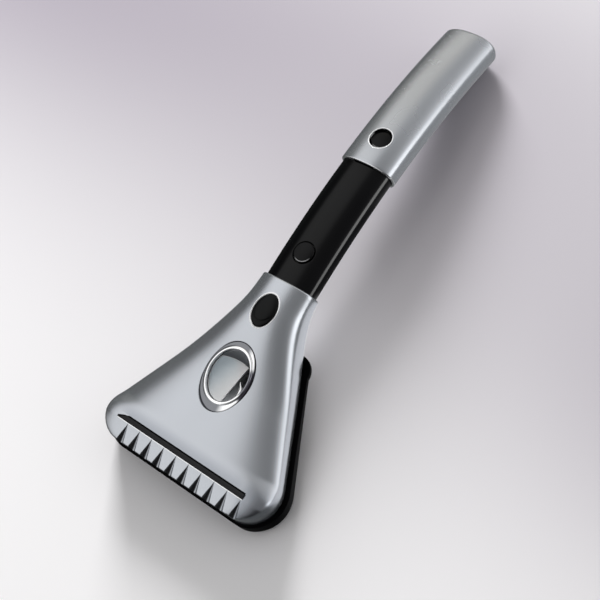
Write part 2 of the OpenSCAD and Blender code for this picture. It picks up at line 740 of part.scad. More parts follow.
module power_leads() color("#8a1f1f") for (m = [-1, 1])
  sweep(tube_front_s - over * 2, cell_s - cell_l / 2 - nub_l * 2)
    translate([-lead_drop, m * lead_gap / 2]) circle(r = lead_r, $fn = small_fn);

module heater_leads() color("#c9c2b2") for (m = [-1, 1]) {
  on_sole(base_front, blade_t - blade_proud + heater_t + base_wall + lead_r + seat * 3)
    translate([m * heater_w / 4, blade_l / 2 + heater_l / 2, 0]) rotate([-90, 0, 0])
      cylinder(r = lead_r, h = head_reach / 6, $fn = small_fn);
}

module charge_contacts() color("#d6b35a") for (m = [-1, 1]) on_sole(contact_ahead, seat)
  translate([m * contact_gap / 2, 0, 0]) {
    cylinder(r = contact_r - seat, h = base_wall + contact_t, $fn = small_fn);
  }

module extension_tube() color("#17181a") difference() {
  sweep(tube_front_s, tube_rear_s) section_flat(tube_w, tube_h);
  sweep(tube_front_s - over, tube_rear_s + over) section_flat(tube_w - tube_wall * 2, tube_h - tube_wall * 2);
  for (s = [front_snap_s, rear_snap_s]) at_arch(s) cylinder(r = snap_r + fit, h = tube_h, $fn = round_fn);
}

module tube_end_plug() color("#1d1e20")
  sweep(tube_rear_s - tube_wall, tube_rear_s)
    section_flat(tube_w - tube_wall * 2 - seat * 2, tube_h - tube_wall * 2 - seat * 2);

// Push button with a domed top and a flange that holds it under the tube's wall
module snap_button(s) at_arch(s) {
  top = tube_h / 2 + snap_proud;
  dome_r = (snap_r * snap_r + snap_dome * snap_dome) / snap_dome / 2;
  intersection() {
    translate([0, 0, snap_flange_top]) cylinder(r = snap_r, h = top - snap_flange_top, $fn = round_fn);
    translate([0, 0, top - dome_r]) sphere(r = dome_r, $fn = round_fn * 4);
  }
  translate([0, 0, snap_flange_top - snap_flange_t])
    cylinder(r = snap_flange_r, h = snap_flange_t, $fn = round_fn);
}
module front_snap_button() color("#121214") snap_button(front_snap_s);
module rear_snap_button() color("#121214") snap_button(rear_snap_s);

// Bent leaf between the tube's floor and a snap button
module leaf_spring(s) at_arch(s) {
  z0 = -tube_h / 2 + tube_wall + seat;
  z1 = snap_flange_top - snap_flange_t - seat;
  y = leaf_l / 2;
  crest = leaf_w / 4;
  rotate([90, 0, 90]) translate([0, 0, -leaf_w / 2]) linear_extrude(height = leaf_w) polygon([
    [-y, z0], [-crest, z1 - leaf_t], [crest, z1 - leaf_t], [y, z0],
    [y, z0 + leaf_t], [crest, z1], [-crest, z1], [-y, z0 + leaf_t]
  ]);
}
module front_snap_spring() color("#b5b8bc") leaf_spring(front_snap_s);
module rear_snap_spring() color("#b5b8bc") leaf_spring(rear_snap_s);

module battery_cells() color("#3b6ea8") at_arch(cell_s) for (m = [-1, 1])
  translate([m * (cell_r + cell_gap / 2), -cell_l / 2, 0]) rotate([-90, 0, 0]) {
    cylinder(r = cell_r, h = cell_l, $fn = round_fn);
    translate([0, 0, m > 0 ? -nub_l : cell_l]) cylinder(r = nub_r, h = nub_l, $fn = small_fn);
  }

module battery_contacts() color("#c8c9cc") at_arch(cell_s) for (m = [-1, 1])
  translate([-cell_r * 1.6, m * (cell_l / 2 + nub_l + seat) - (m < 0 ? strip_t : 0), -cell_r / 2])
    cube([cell_r * 3.2, strip_t, cell_r]);

module handle_shell() color("silver") difference() {
  sweep(mouth_s, end_s - cap_skin) section_flat(handle_w, handle_h);
  sweep(mouth_s - over, end_s) section_flat(bore_w, bore_h);
  sweep(mouth_s - over, bore_end_s) translate([0, -keyway_w / 2]) square([keyway_top, keyway_w]);
  at_arch(lock_s) cylinder(r = lock_hole_r, h = handle_h, $fn = round_fn);
  at_arch(lock_s, handle_h / 2 - rim_bevel)
    cylinder(r1 = lock_hole_r, r2 = lock_hole_r + rim_bevel * 2, h = rim_bevel * 2, $fn = round_fn);
}

// Ring of the handle's end, drawn in by the rounding
function cap_ring(i) =
  let (t = 90 * i / cap_steps, in = end_round * (1 - cos(t)), s = end_s - end_round + end_round * sin(t))
  [for (p = section(handle_w - in * 2, handle_h - in * 2))
    let (r = arch_r + p[1])
    [p[0], crown_y + r * sin(turn(s)), crown_z - arch_r + r * cos(turn(s))]];
function cap_start() =
  [for (p = section(handle_w, handle_h)) let (r = arch_r + p[1], s = end_s - cap_skin)
    [p[0], crown_y + r * sin(turn(s)), crown_z - arch_r + r * cos(turn(s))]];
module handle_end_cap() color("silver") {
  loft(concat([cap_start()], [for (i = [0:cap_steps]) cap_ring(i)]));
  sweep(bore_end_s, end_s - cap_skin / 2) section_flat(bore_w - seat * 2, bore_h - seat * 2);
}

head_shell();
head_base();
scraper_blade();
heater_bar();
heater_cover();
thermal_cutout();
squeegee_strip();
lens_bezel();
lamp_lens();
lamp_reflector();
lamp_board();
control_board();
switch_board();
power_button();
neck_joiner();
joiner_screws();
base_screws();
power_leads();
heater_leads();
charge_contacts();
extension_tube();
tube_end_plug();
front_snap_button();
rear_snap_button();
front_snap_spring();
rear_snap_spring();
battery_cells();
battery_contacts();
handle_shell();
handle_end_cap();
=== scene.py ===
# Heated ice scraper: its looks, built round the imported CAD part.
# Shapes are worked out in millimetres in the part's own frame: +Z up, the scraping edge to -Y, the handle to +Y.
import json
from math import cos, degrees, pi, radians, sin, sqrt, tan
import bmesh
import bpy
import numpy as np
from mathutils import Matrix, Vector


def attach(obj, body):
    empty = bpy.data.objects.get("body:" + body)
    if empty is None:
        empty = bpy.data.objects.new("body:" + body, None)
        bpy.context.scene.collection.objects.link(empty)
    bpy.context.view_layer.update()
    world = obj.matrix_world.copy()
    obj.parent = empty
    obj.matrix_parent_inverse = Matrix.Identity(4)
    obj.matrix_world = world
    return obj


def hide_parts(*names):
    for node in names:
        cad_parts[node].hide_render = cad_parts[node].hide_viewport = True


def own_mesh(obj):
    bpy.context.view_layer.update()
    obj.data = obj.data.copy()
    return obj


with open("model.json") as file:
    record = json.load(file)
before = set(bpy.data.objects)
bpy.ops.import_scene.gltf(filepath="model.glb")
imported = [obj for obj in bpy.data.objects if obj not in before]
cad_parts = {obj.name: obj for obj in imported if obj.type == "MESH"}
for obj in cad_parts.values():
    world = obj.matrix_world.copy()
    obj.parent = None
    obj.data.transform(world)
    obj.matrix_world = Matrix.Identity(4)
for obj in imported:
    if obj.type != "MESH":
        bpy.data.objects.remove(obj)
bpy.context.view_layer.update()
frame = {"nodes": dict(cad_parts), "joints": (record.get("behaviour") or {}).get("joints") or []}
nodes = frame["nodes"]
scene = bpy.context.scene
MM = 0.001

# ---- sizes, as in the CAD part
# arch that the tube and the handle follow: its radius, and its crown from the handle's joint
ARCH_R = 505.0
slide = next(j for j in frame["joints"] if j["name"] == "handle_slide")
CROWN_Y, CROWN_Z = slide["pos_m"][1] / MM, slide["pos_m"][2] / MM + ARCH_R
SEAT, FIT = 0.05, 0.2
TUBE_W, TUBE_H, TUBE_WALL, POWER = 31.0, 15.6, 1.6, 2.4
HANDLE_W, HANDLE_H, BORE_W, BORE_H = 33.8, 20.0, 31.5, 16.1
MOUTH_S, LOCK_S, END_S = 25.7, 42.4, 130.7
CAP_S, BORE_END_S, END_ROUND, MOUTH_ROUND = 127.9, 125.1, 2.6, 0.8
TUBE_FRONT_S, TUBE_REAR_S, FRONT_SNAP_S, REAR_SNAP_S = -56.3, 51.0, -30.9, 42.4
SNAP_R, SNAP_TOP, SNAP_DOME, SNAP_ROUND, SNAP_GAP, PRESS = 5.7, 8.75, 0.5, 0.5, 0.55, 1.0
SNAP_FLANGE_R, SNAP_FLANGE_T, SNAP_PROUD = 6.6, 1.2, 0.95
KEYWAY_W, KEYWAY_TOP, KEYWAY_EASE, LOCK_W = 12.4, 9.0, 0.2, 12.6
SNAP_FLANGE = TUBE_H / 2 - TUBE_WALL - SNAP_PROUD + FIT
LEAF_W, LEAF_T, LEAF_L = 6.0, 0.4, 13.0
LEAF_FOOT, LEAF_TOP = TUBE_WALL + SEAT - TUBE_H / 2, SNAP_FLANGE - SNAP_FLANGE_T - SEAT
# head: distances ahead of the crown, widths and heights
REACH, NECK_AHEAD, NECK_HALF, NECK_H = 158.6, 48.3, 16.35, 20.0
FLARE, FLARE_AHEAD, FLARE_SOFT, CORNER_R = radians(26.9), 62.8, 9.6, 16.3
DECK_H, DECK_FALL, NECK_FALL, LIP_FALL = 22.9, radians(3.6), radians(1.7), radians(15)
PARTING_H, PARTING_RISE, SIDE_H, WALL = 9.0, radians(1.1), 1.0, 2.2
# where the neck's lines turn into the head's, on top and below, and how square the sections are
BLEND_NEAR, BLEND_FAR, UNDER_NEAR, UNDER_FAR = 62, 108, 52, 67
DECK_POWER, LIP_POWER, LOW_POWER = 3, 12, 7
NECK_ROUND, HEAD_EDGE, FRONT_SOLID, REAR_SOLID = 0.9, 0.6, 13, 8
STRIP_W, STRIP_L, STRIP_BACK, STRIP_FOOT, STRIP_PROUD = 85.0, 3.3, 9.6, 2.0, 1.0
STRIP_SLANT, STRIP_TIP, STRIP_AHEAD = 6.2, 1.0, REACH - STRIP_BACK
GROOVES, GROOVE_PITCH, GROOVE_SHIFT, GROOVE_W, GROOVE_D = 10, 8.5, 3.7, 5.4, 2.4
CORNER_AHEAD = REACH - CORNER_R
CORNER_START = CORNER_AHEAD - CORNER_R * sin(FLARE)
# base: lips past the shell, rear end, pitch of its underside
BASE_LIP, BASE_TOE, BASE_REAR, BASE_REAR_R = 2.5, 1.5, 74.0, 9.0
BASE_PITCH, BASE_EDGE, BASE_TOP_EDGE, BASE_WALL, BLADE_PROUD = radians(4.4), 1.6, 0.5, 2.0, 0.6
BASE_FRONT = REACH + BASE_TOE
BLADE_W, BLADE_L, BLADE_T = 78.0, 17.0, 1.2
# holes up into the base, as radius and height: for the screws, and for the charging contacts with their place
SCREW_HOLE = ((2.9, -2), (2.9, 0.1), (2.7, 0.25), (2.7, 1.9), (1.45, 1.9), (1.45, 8))
CONTACT_HOLE, CONTACT_AHEAD, CONTACT_X = ((2.4, -2), (2.4, 0.05), (2.2, 0.2), (2.2, 3)), 84, 4.5
# lamp and power button
LAMP_AHEAD, LAMP_TILT, BEZEL_W, BEZEL_L, BEZEL_H, BEZEL_SEAT = 104.1, radians(9.5), 28.0, 37.4, 0.9, 0.4
LENS_W, LENS_L, LENS_BACK, LENS_EDGE, LENS_T, FOOT_WALL = 22.9, 27.4, 0.7, 0.36, 1.4, 0.8
FOOT_W, FOOT_L, BEZEL_GAP = LENS_W + 2 * FOOT_WALL, LENS_L + 2 * FOOT_WALL, 0.08
REFLECTOR_D, LED_R, RIM = 6.0, 1.8, 1.6
# the lamp's light guide: its straight side as a direction and a distance, and its arc as a centre and a radius
GUIDE_SIDE = ((0.9752, -0.2211), 5.69)
GUIDE_ARC = ((1.26, -23.19), 31.99)
GUIDE_GAP, FAR = 0.35, 99
BUTTON_AHEAD, BUTTON_LEAN, BUTTON_W, BUTTON_L = 67.2, radians(4), 13.3, 18.2
BUTTON_GAP, BUTTON_DOME, FLANGE_DROP, FLANGE_T, FLANGE_OUT = 0.35, 1.0, 0.9, 1.2, 1.4
# step on the power button: an oval moved back by a share of its length, its own share of the radius, drop and softness
STEP_BACK, STEP_SHARE, STEP_DROP, STEP_SOFT = 0.34, 0.98, 0.38, 0.35


# ---- curves of the head
def ease(t):
    """Smooth step from 0 to 1."""
    t = np.clip(t, 0, 1)
    return t * t * (3 - 2 * t)


def mix(a, b, t):
    """Share t of the way from a to b."""
    return a + (b - a) * t


def power(v, p):
    """Signed root that turns a cosine or sine into a superellipse's coordinate."""
    return np.sign(v) * np.abs(v) ** (2 / p)


def side(a, lip=0.0):
    """Half width of neck and straight flare: a hyperbola's branch eases one into the other."""
    t = a - FLARE_AHEAD
    return NECK_HALF + lip / cos(FLARE) + tan(FLARE) * (t + np.sqrt(t * t + FLARE_SOFT**2)) / 2


CORNER_X = side(CORNER_AHEAD) - CORNER_R / cos(FLARE)


def half(a, lip=0.0):
    """Half width: the side as far as the corner's start, then the circle that rounds the front corner."""
    arc = np.sqrt(np.maximum(0, (CORNER_R + lip) ** 2 - (a - CORNER_AHEAD) ** 2))
    return np.where(a < CORNER_START, side(a, lip), CORNER_X + arc)


def arch_z(a):
    """Height of the arch's centreline: its circle, over the ground plan."""
    return CROWN_Z - ARCH_R + np.sqrt(ARCH_R**2 - a * a)


def top_z(a):
    """Deck's height on the centreline: the neck's line eased into the deck's, then the lip's fall."""
    neck = arch_z(NECK_AHEAD) + NECK_H / 2 - (a - NECK_AHEAD) * tan(NECK_FALL)
    deck = DECK_H + (STRIP_AHEAD - a) * tan(DECK_FALL)
    lip = DECK_H - (a - REACH + STRIP_BACK) * tan(LIP_FALL)
    return np.where(a > STRIP_AHEAD, lip, mix(neck, deck, ease((a - BLEND_NEAR) / (BLEND_FAR - BLEND_NEAR))))


def parting_z(a):
    """Height of the line where head and base part: straight, rising towards the handle."""
    return PARTING_H + (REACH - a) * tan(PARTING_RISE)


def low_z(a):
    """Lower edge of the head's sections: the neck's underside eased into the parting line."""
    return mix(arch_z(a) - NECK_H / 2, parting_z(a), ease((a - UNDER_NEAR) / (UNDER_FAR - UNDER_NEAR)))


def mid_z(a):
    """Height where the sections are widest: the arch's centreline eased into a line just over the parting."""
    return mix(arch_z(a), parting_z(a) + SIDE_H, ease((a - UNDER_NEAR) / (BLEND_FAR - UNDER_NEAR)))


def base_z(a):
    """Height of the base's underside: a straight line, rising towards the handle."""
    return BLADE_PROUD + (BASE_FRONT - a) * tan(BASE_PITCH)


def spread(a):
    """0 at the neck's mouth, 1 where the deck is reached, smooth between."""
    return ease((a - NECK_AHEAD) / (BLEND_FAR - NECK_AHEAD))


def top_power(a):
    """How square the sections are on top: the tube's power eased to the deck's, and that to the lip's."""
    return mix(mix(POWER, DECK_POWER, spread(a)), LIP_POWER, ease((a - CORNER_START) / (REACH - CORNER_START)))


def deck_at(a, x):
    """Deck's height beside the centreline, from the superellipse of the section there."""
    share = np.minimum(np.abs(x) / half(a), 0.999)
    m = mid_z(a)
    return m + (top_z(a) - m) * (1 - share ** top_power(a)) ** (1 / top_power(a))


def round_over(past, r):
    """How far a rounding of radius r has fallen, a distance past its start."""
    return r - np.sqrt(np.maximum(0, r * r - np.clip(past, 0, r) ** 2))


# ---- rings of points
def evenly(rings, count, turn_share=0.6):
    """Respaces closed rings of dense points: each step is a like share of length and of turning."""
    out = np.empty((len(rings), count, 3))
    for k, ring in enumerate(rings):
        loop = np.vstack([ring, ring[:1]])
        step = np.diff(loop, axis=0)
        length = np.linalg.norm(step, axis=1) + 1e-12
        unit = step / length[:, None]
        bend = np.arccos(np.clip((unit * np.roll(unit, 1, axis=0)).sum(1), -1, 1))
        share = length / length.sum() + turn_share * (bend + np.roll(bend, -1)) / 2 / (2 * np.pi)
        along = np.concatenate([[0], np.cumsum(share)]) / share.sum()
        at = np.arange(count) / count
        out[k] = np.stack([np.interp(at, along, loop[:, c]) for c in range(3)], -1)
    return out


def softened(points, times=2):
    """Cuts the corners of an open profile at a quarter and three quarters of each side, again and again."""
    p = np.array(points, float)
    for _ in range(times):
        mid = np.stack([p[:-1] * 0.75 + p[1:] * 0.25, p[:-1] * 0.25 + p[1:] * 0.75], 1).reshape(-1, p.shape[1])
        p = np.vstack([p[:1], mid, p[-1:]])
    return p


def quarter(start, end, count):
    """Evenly spaced angles, given in degrees."""
    return np.radians(np.linspace(start, end, count))


def circle(count):
    """Cosines and sines of evenly spaced angles, once round."""
    t = np.linspace(0, 2 * np.pi, count, endpoint=False)
    return np.cos(t), np.sin(t)


def section(w, h, count=160):
    """Rounded section of tube or handle: a superellipse as x and height, evenly spaced."""
    c, s = circle(1440)
    dense = np.stack([w / 2 * power(c, POWER), h / 2 * power(s, POWER), 0 * c], -1)
    return evenly(dense[None], count, 0.3)[0, :, :2]


def on_arch(x, s, h):
    """Points at a height above the arch's centreline, a distance s along it."""
    r, turn = ARCH_R + h, np.asarray(s) / ARCH_R
    return np.stack(np.broadcast_arrays(x, CROWN_Y + r * np.sin(turn), CROWN_Z - ARCH_R + r * np.cos(turn)), -1)


def sweep(w, h, stations, insets=0.0, count=160):
    """Carries the rounded section along the arch, drawn in by an inset at each station."""
    rings = []
    for s, e in zip(stations, np.broadcast_to(insets, len(stations))):
        flat = section(w - 2 * e, h - 2 * e, count)
        rings.append(on_arch(flat[:, 0], s, flat[:, 1]))
    return np.array(rings)


class Place:
    """A flat frame of reference: origin in mm and a tilt about +X, as rotate([tilt, 0, 0]) in the CAD."""

    def __init__(self, y, z, tilt):
        self.y, self.z, self.c, self.s = y, z, cos(tilt), sin(tilt)

    def out(self, x, y, z):
        """Points of this frame in the part's: turned by the tilt, then moved to the origin."""
        x, y, z = np.broadcast_arrays(x, y, z)
        return np.stack([x, self.y + y * self.c - z * self.s, self.z + y * self.s + z * self.c], -1)

    def height(self, x, y, surface):
        """Height above this place of surface(x, row y), found by a few repeated steps."""
        z = np.zeros(np.broadcast(x, y).shape)
        for _ in range(6):
            row_y = self.y + y * self.c - z * self.s
            z = (surface(x, row_y) - self.z - y * self.s) / self.c
        return z


def on_deck(ahead, tilt):
    """Place on the deck's centreline, a distance ahead of the crown."""
    return Place(CROWN_Y - ahead, float(top_z(np.array(ahead))), tilt)


def on_sole(ahead):
    """Place on the base's underside, a distance ahead of the crown, tilted as the base is."""
    return Place(CROWN_Y - ahead, float(base_z(ahead)), BASE_PITCH)


def at_arch(s):
    """Place on the arch's centreline, a distance s along it and square to it."""
    p = on_arch(0, s, 0)
    return Place(p[1], p[2], -s / ARCH_R)


def deck_surface(x, y):
    """Deck's height over a point of the ground plan."""
    return deck_at(CROWN_Y - y, x)


def swept_surface(w, h):
    """Height of the top of a swept section over a point of the ground plan."""
    def height(x, y):
        top = h / 2 * (1 - np.minimum(np.abs(x) / (w / 2), 0.999) ** POWER) ** (1 / POWER)
        return CROWN_Z - ARCH_R + np.sqrt((ARCH_R + top) ** 2 - (y - CROWN_Y) ** 2)
    return height


lamp_place = on_deck(LAMP_AHEAD, LAMP_TILT)
lens_place = Place(lamp_place.y + LENS_BACK * lamp_place.c, lamp_place.z + LENS_BACK * lamp_place.s, LAMP_TILT)
button_place = on_deck(BUTTON_AHEAD, BUTTON_LEAN)
strip_place = on_deck(STRIP_AHEAD, DECK_FALL)
lock_place = at_arch(LOCK_S)


# ---- meshes
def into_scene(name, data):
    """New object in the scene."""
    obj = bpy.data.objects.new(name, data)
    scene.collection.objects.link(obj)
    return obj


def build(name, grid, ends="cap"):
    """Mesh from a grid of closed rings: quads between them, and both ends capped, or joined as a loop."""
    grid = np.array(grid)
    m, n, _ = grid.shape
    i, j = np.meshgrid(np.arange(m if ends == "loop" else m - 1), np.arange(n), indexing="ij")
    up, over = (i + 1) % m, (j + 1) % n
    corners = [np.stack([i * n + j, i * n + over, up * n + over, up * n + j], -1).ravel()]
    sizes = [np.full(i.size, 4)]
    if ends == "cap":
        corners += [np.arange(n)[::-1], (m - 1) * n + np.arange(n)]
        sizes += [np.array([n, n])]
    corners, sizes = np.concatenate(corners), np.concatenate(sizes)
    mesh = bpy.data.meshes.new(name)
    mesh.vertices.add(m * n)
    mesh.vertices.foreach_set("co", (grid * MM).ravel())
    mesh.loops.add(len(corners))
    mesh.loops.foreach_set("vertex_index", corners.astype(np.int32))
    mesh.polygons.add(len(sizes))
    mesh.polygons.foreach_set("loop_start", np.concatenate([[0], np.cumsum(sizes)[:-1]]).astype(np.int32))
    mesh.update(calc_edges=True)
    bm = bmesh.new()
    bm.from_mesh(mesh)
    bmesh.ops.remove_doubles(bm, verts=bm.verts, dist=2e-6)
    bmesh.ops.recalc_face_normals(bm, faces=bm.faces)
    bm.to_mesh(mesh)
    bm.free()
    return into_scene(name, mesh)


def cut(obj, cutters):
    """Takes the cutters' solids out of a piece for good, and removes them."""
    for c in cutters:
        m = obj.modifiers.new("cut", "BOOLEAN")
        m.operation, m.solver, m.object = "DIFFERENCE", "MANIFOLD", c
    bpy.context.view_layer.update()
    done = bpy.data.meshes.new_from_object(obj.evaluated_get(bpy.context.evaluated_depsgraph_get()))
    old = obj.data
    obj.modifiers.clear()
    obj.data = done
    bpy.data.meshes.remove(old)
    for c in cutters:
        bpy.data.objects.remove(c)
    return obj


def dress(obj, material, stands_for=(), body="head_and_tube", edge_angle=32):
    """Smooth shading with true edges kept, a material, and the piece's place in the frame."""
    obj.data.name = obj.name
    obj.data.materials.clear()
    obj.data.materials.append(material)
    obj.data.shade_smooth()
    obj.data.set_sharp_from_angle(angle=radians(edge_angle))
    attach(obj, body)
    if stands_for:
        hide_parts(*stands_for)
    return obj


def well(place, w, l, depth, rim, surface):
    """Cutter for an oval opening: straight walls that flare out over a small rounding into the surface."""
    c, s = circle(96)
    steps = [(rim * (1 - sin(t)), -rim * (1 - cos(t))) for t in quarter(90, 0, 7)]
    rings = [place.out(w / 2 * c, l / 2 * s, -depth)]
    for grow, drop in steps + [(rim * 1.02, 4.0)]:
        x, y = (w / 2 + grow) * c, (l / 2 + grow) * s
        rings.append(place.out(x, y, place.height(x, y, surface) + drop))
    return build("well", rings)


# ---- shader maths
class Socket:
    """Wraps a shader socket so that sums and products of sockets and numbers add Math nodes."""

    def __init__(self, shader, link):
        self.shader, self.link = shader, link

    def _math(self, operation, other=None, swap=False, clamp=False):
        a, b = (other, self) if swap else (self, other)
        inputs = {0: a} if b is None else {0: a, 1: b}
        return self.shader.node("ShaderNodeMath", {"operation": operation, "use_clamp": clamp}, inputs)

    def __add__(self, o): return self._math("ADD", o)
    def __radd__(self, o): return self._math("ADD", o, swap=True)
    def __sub__(self, o): return self._math("SUBTRACT", o)
    def __rsub__(self, o): return self._math("SUBTRACT", o, swap=True)
    def __mul__(self, o): return self._math("MULTIPLY", o)
    def __rmul__(self, o): return self._math("MULTIPLY", o, swap=True)
    def __truediv__(self, o): return self._math("DIVIDE", o)
    def clamp(self): return self._math("ADD", 0.0, clamp=True)
    def abs(self): return self._math("ABSOLUTE")
    def exp(self): return self._math("EXPONENT")
    def power(self, p): return self._math("POWER", p)
    def above(self, edge): return self._math("GREATER_THAN", edge)

    def ramp(self, low, high):
        """0 below low, 1 above high, smooth between."""
        return self.shader.node("ShaderNodeMapRange", {"interpolation_type": "SMOOTHSTEP", "clamp": True},
                {"Value": self, "From Min": low, "From Max": high})


class Shader:
    """One material and its nodes."""

    def __init__(self, name):
        self.material = bpy.data.materials.new(name)
        self.material.use_nodes = True
        self.tree = self.material.node_tree
        self.tree.nodes.clear()
        self.output = self.tree.nodes.new("ShaderNodeOutputMaterial")
        self.coords = None

    def node(self, kind, settings=None, inputs=None, output=0):
        """Adds a node: first its settings, then the values or links of its sockets. Gives one of its outputs."""
        n = self.tree.nodes.new(kind)
        for key, value in (settings or {}).items():
            if key == "stops":
                ramp = n.color_ramp
                while len(ramp.elements) < len(value):
                    ramp.elements.new(1.0)
                for k, (position, color) in enumerate(value):
                    ramp.elements[k].position = position
                    ramp.elements[k].color = (*color, 1.0)[:4]
            else:
                setattr(n, key, value)
        for key, value in (inputs or {}).items():
            if isinstance(value, Socket):
                self.tree.links.new(value.link, n.inputs[key])
            elif value is not None:
                n.inputs[key].default_value = value
        return Socket(self, n.outputs[output])

    def place(self, scale=(1, 1, 1)):
        """Object coordinates in metres, scaled."""
        if self.coords is None:
            self.coords = self.node("ShaderNodeTexCoord", output="Object")
        return self.node("ShaderNodeMapping", {"vector_type": "POINT"}, {"Vector": self.coords, "Scale": scale})

    def split(self, vector):
        """A vector's three numbers."""
        n = self.tree.nodes.new("ShaderNodeSeparateXYZ")
        self.tree.links.new(vector.link, n.inputs[0])
        return [Socket(self, o) for o in n.outputs]

    def noise(self, scale, detail=3.0, rough=0.55, vector=None):
        """Fractal noise about 0.5, over the piece's own coordinates or another vector."""
        return self.node("ShaderNodeTexNoise", {}, {"Vector": vector or self.place(), "Scale": scale,
                "Detail": detail, "Roughness": rough})

    def blend(self, factor, a, b):
        """Colour a to colour b by a factor."""
        n = self.tree.nodes.new("ShaderNodeMix")
        n.data_type = "RGBA"
        for key, value in (("Factor", factor), ("A", a), ("B", b)):
            slot = next(i for i in n.inputs if i.name == key and i.enabled)
            if isinstance(value, Socket):
                self.tree.links.new(value.link, slot)
            else:
                slot.default_value = (*value, 1.0) if isinstance(value, tuple) and len(value) == 3 else value
        return Socket(self, next(o for o in n.outputs if o.enabled))

    def bump(self, height, strength, distance):
        """Normal of a surface raised by a height between 0 and 1, times a distance in metres."""
        return self.node("ShaderNodeBump", {}, {"Height": height, "Strength": strength, "Distance": distance})

    def grain(self, scale, strength):
        """Fine unevenness of the surface, a fifth of a millimetre deep at full strength."""
        return self.bump(self.noise(scale, 2.0), strength, 0.0002)

    def surface(self, **inputs):
        """Principled surface from named sockets, with underscores for spaces."""
        out = self.node("ShaderNodeBsdfPrincipled", {}, {k.replace("_", " "): v for k, v in inputs.items()})
        self.tree.links.new(out.link, self.output.inputs["Surface"])
        return self.material


# white of polished chrome, and of the painted highlights on edges and on the bezel's rim
POLISH_AND_HIGHLIGHT = (0.98, 0.98, 0.99)


def paint_silver(name, base, deep, metal, rough, edges=None, shade=None, hollow_shade=None):
    """Satin silver paint: fine flake and faint orange peel, with painted shade in bands and hollows and painted
    highlights along edges.
    """
    s = Shader(name)
    flake = s.noise(5200, 2.0, 0.6)
    cloud = s.noise(60, 3.0, 0.5)
    tone = (flake - 0.5) * 0.10 + (cloud - 0.5) * 0.08 + 0.5
    color = s.blend(tone.clamp(), deep, base)
    if shade:
        # painted shade: darker blue-grey where the shade mask is
        color = s.blend(shade(s), color, (0.30, 0.32, 0.36))
    if hollow_shade:
        # painted shade: near black in hollows
        color = s.blend(hollow_shade(s), color, (0.012, 0.012, 0.014))
    if edges:
        # painted highlights: near white and less metallic along edges and round openings
        bright, ring_highlight = edges(s)
        color, metal = s.blend((bright + ring_highlight).clamp(), color, POLISH_AND_HIGHLIGHT), metal * (1 - ring_highlight * 0.9)
    return s.surface(Base_Color=color, Metallic=metal, Roughness=(rough + (cloud - 0.5) * 0.05),
            Coat_Weight=0.25, Coat_Roughness=0.12, Normal=s.grain(900, 0.015))


def in_place(s, place):
    """Coordinates in mm across, along and above a place."""
    x, y, z = s.split(s.place())
    y, z = y / MM - place.y, z / MM - place.z
    return x / MM, y * place.c + z * place.s, z * place.c - y * place.s


def oval_share(u, v, w, l):
    """Distance from an oval's middle as a share of its radius in that direction."""
    return ((u / (w / 2)).power(2) + (v / (l / 2)).power(2)).power(0.5)


# an opening's wall reaches out to this share of its radius
WALL_SHARE = 1.006
# heights above a place under which no wall is painted: inside the neck, and inside the handle
UNDER_DECK, UNDER_GRIP = -3, 5


def round_opening(s, place, w, l, band, floor_h):
    """Mask for a painted highlight ring: 1 in a narrow band round an opening, none on its wall, and none below a
    height.
    """
    u, v, h = in_place(s, place)
    share = oval_share(u, v, w, l)
    return share.above(WALL_SHARE) * (1 - (share - 1).ramp(band / w, 2 * band / w)) * h.above(floor_h)


def opening_wall(s, place, w, l, floor_h):
    """Mask for painted shade: 1 on an opening's wall above a height."""
    u, v, h = in_place(s, place)
    return (1 - oval_share(u, v, w, l).above(WALL_SHARE)) * h.above(floor_h)


def head_edge_highlights(s):
    """Painted highlights on the head's edges: round the power button's opening, along the front edge of the strip's
    slot and at the mouth of the neck.
    """
    u, v, h = in_place(s, strip_place)
    slot = (1 - v.abs().ramp(0.22, 0.38)) * (1 - u.abs().ramp(STRIP_W / 2 - 0.3, STRIP_W / 2))
    x, y, z = s.split(s.place())
    mouth = (y / MM).ramp(CROWN_Y - NECK_AHEAD - 0.5, CROWN_Y - NECK_AHEAD - 0.2)
    return (slot + mouth * 0.8).clamp(), round_opening(s, button_place, BUTTON_W, BUTTON_L, 0.95, UNDER_DECK)


def head_shade(s):
    """Painted shade: a soft dark band behind the strip, and a darker corner of the lip beyond its right end."""
    u, v, h = in_place(s, strip_place)
    past, ends = v - STRIP_L, 1 - u.abs().ramp(STRIP_W / 2 - 8, STRIP_W / 2 + 3)
    behind = past.above(0) * (1 - past.ramp(0.0, 7.0)) * 0.66 * ends
    return behind + u.ramp(38.0, 44.0) * (1 - v.ramp(3.0, 12.0)) * 0.72


def head_hollow_shade(s):
    """Painted shade in the head's hollows: on the wall of the power button's opening, and in the left half of each
    groove, darker with its depth.
    """
    x, y, z = s.split(s.place())
    across, ahead = x / MM - GROOVE_SHIFT, CROWN_Y - y / MM
    depth = DECK_H - (ahead - STRIP_AHEAD) * tan(LIP_FALL) - z / MM
    # the place within one groove's pitch; the whole pitches added keep the number above 0
    share = s.node("ShaderNodeMath", {"operation": "FRACT"}, {0: across / GROOVE_PITCH + 2 * GROOVES})
    off = (share - 0.5) * GROOVE_PITCH
    groove = depth.ramp(0.06, 0.55) * (1 - off.ramp(-0.9, 0.6)) * ahead.above(STRIP_AHEAD) * (1 - depth.ramp(2.6, 3.2))
    inside = GROOVES * GROOVE_PITCH / 2 - across.abs()
    return (opening_wall(s, button_place, BUTTON_W, BUTTON_L, UNDER_DECK) + groove * inside.above(0) * 0.75).clamp()


def handle_hollow_shade(s):
    """Painted shade on the wall of the lock's opening in the handle."""
    return opening_wall(s, lock_place, LOCK_W, LOCK_W, UNDER_GRIP)


def handle_edge_highlights(s):
    """Painted highlights on the handle's edges: round the lock's opening and at the mouth."""
    x, y, z = s.split(s.place())
    mouth = 1 - (y / MM).ramp(mouth_y + 0.3, mouth_y + 0.6)
    return mouth * 0.6, round_opening(s, lock_place, LOCK_W, LOCK_W, 0.8, UNDER_GRIP) * 0.85


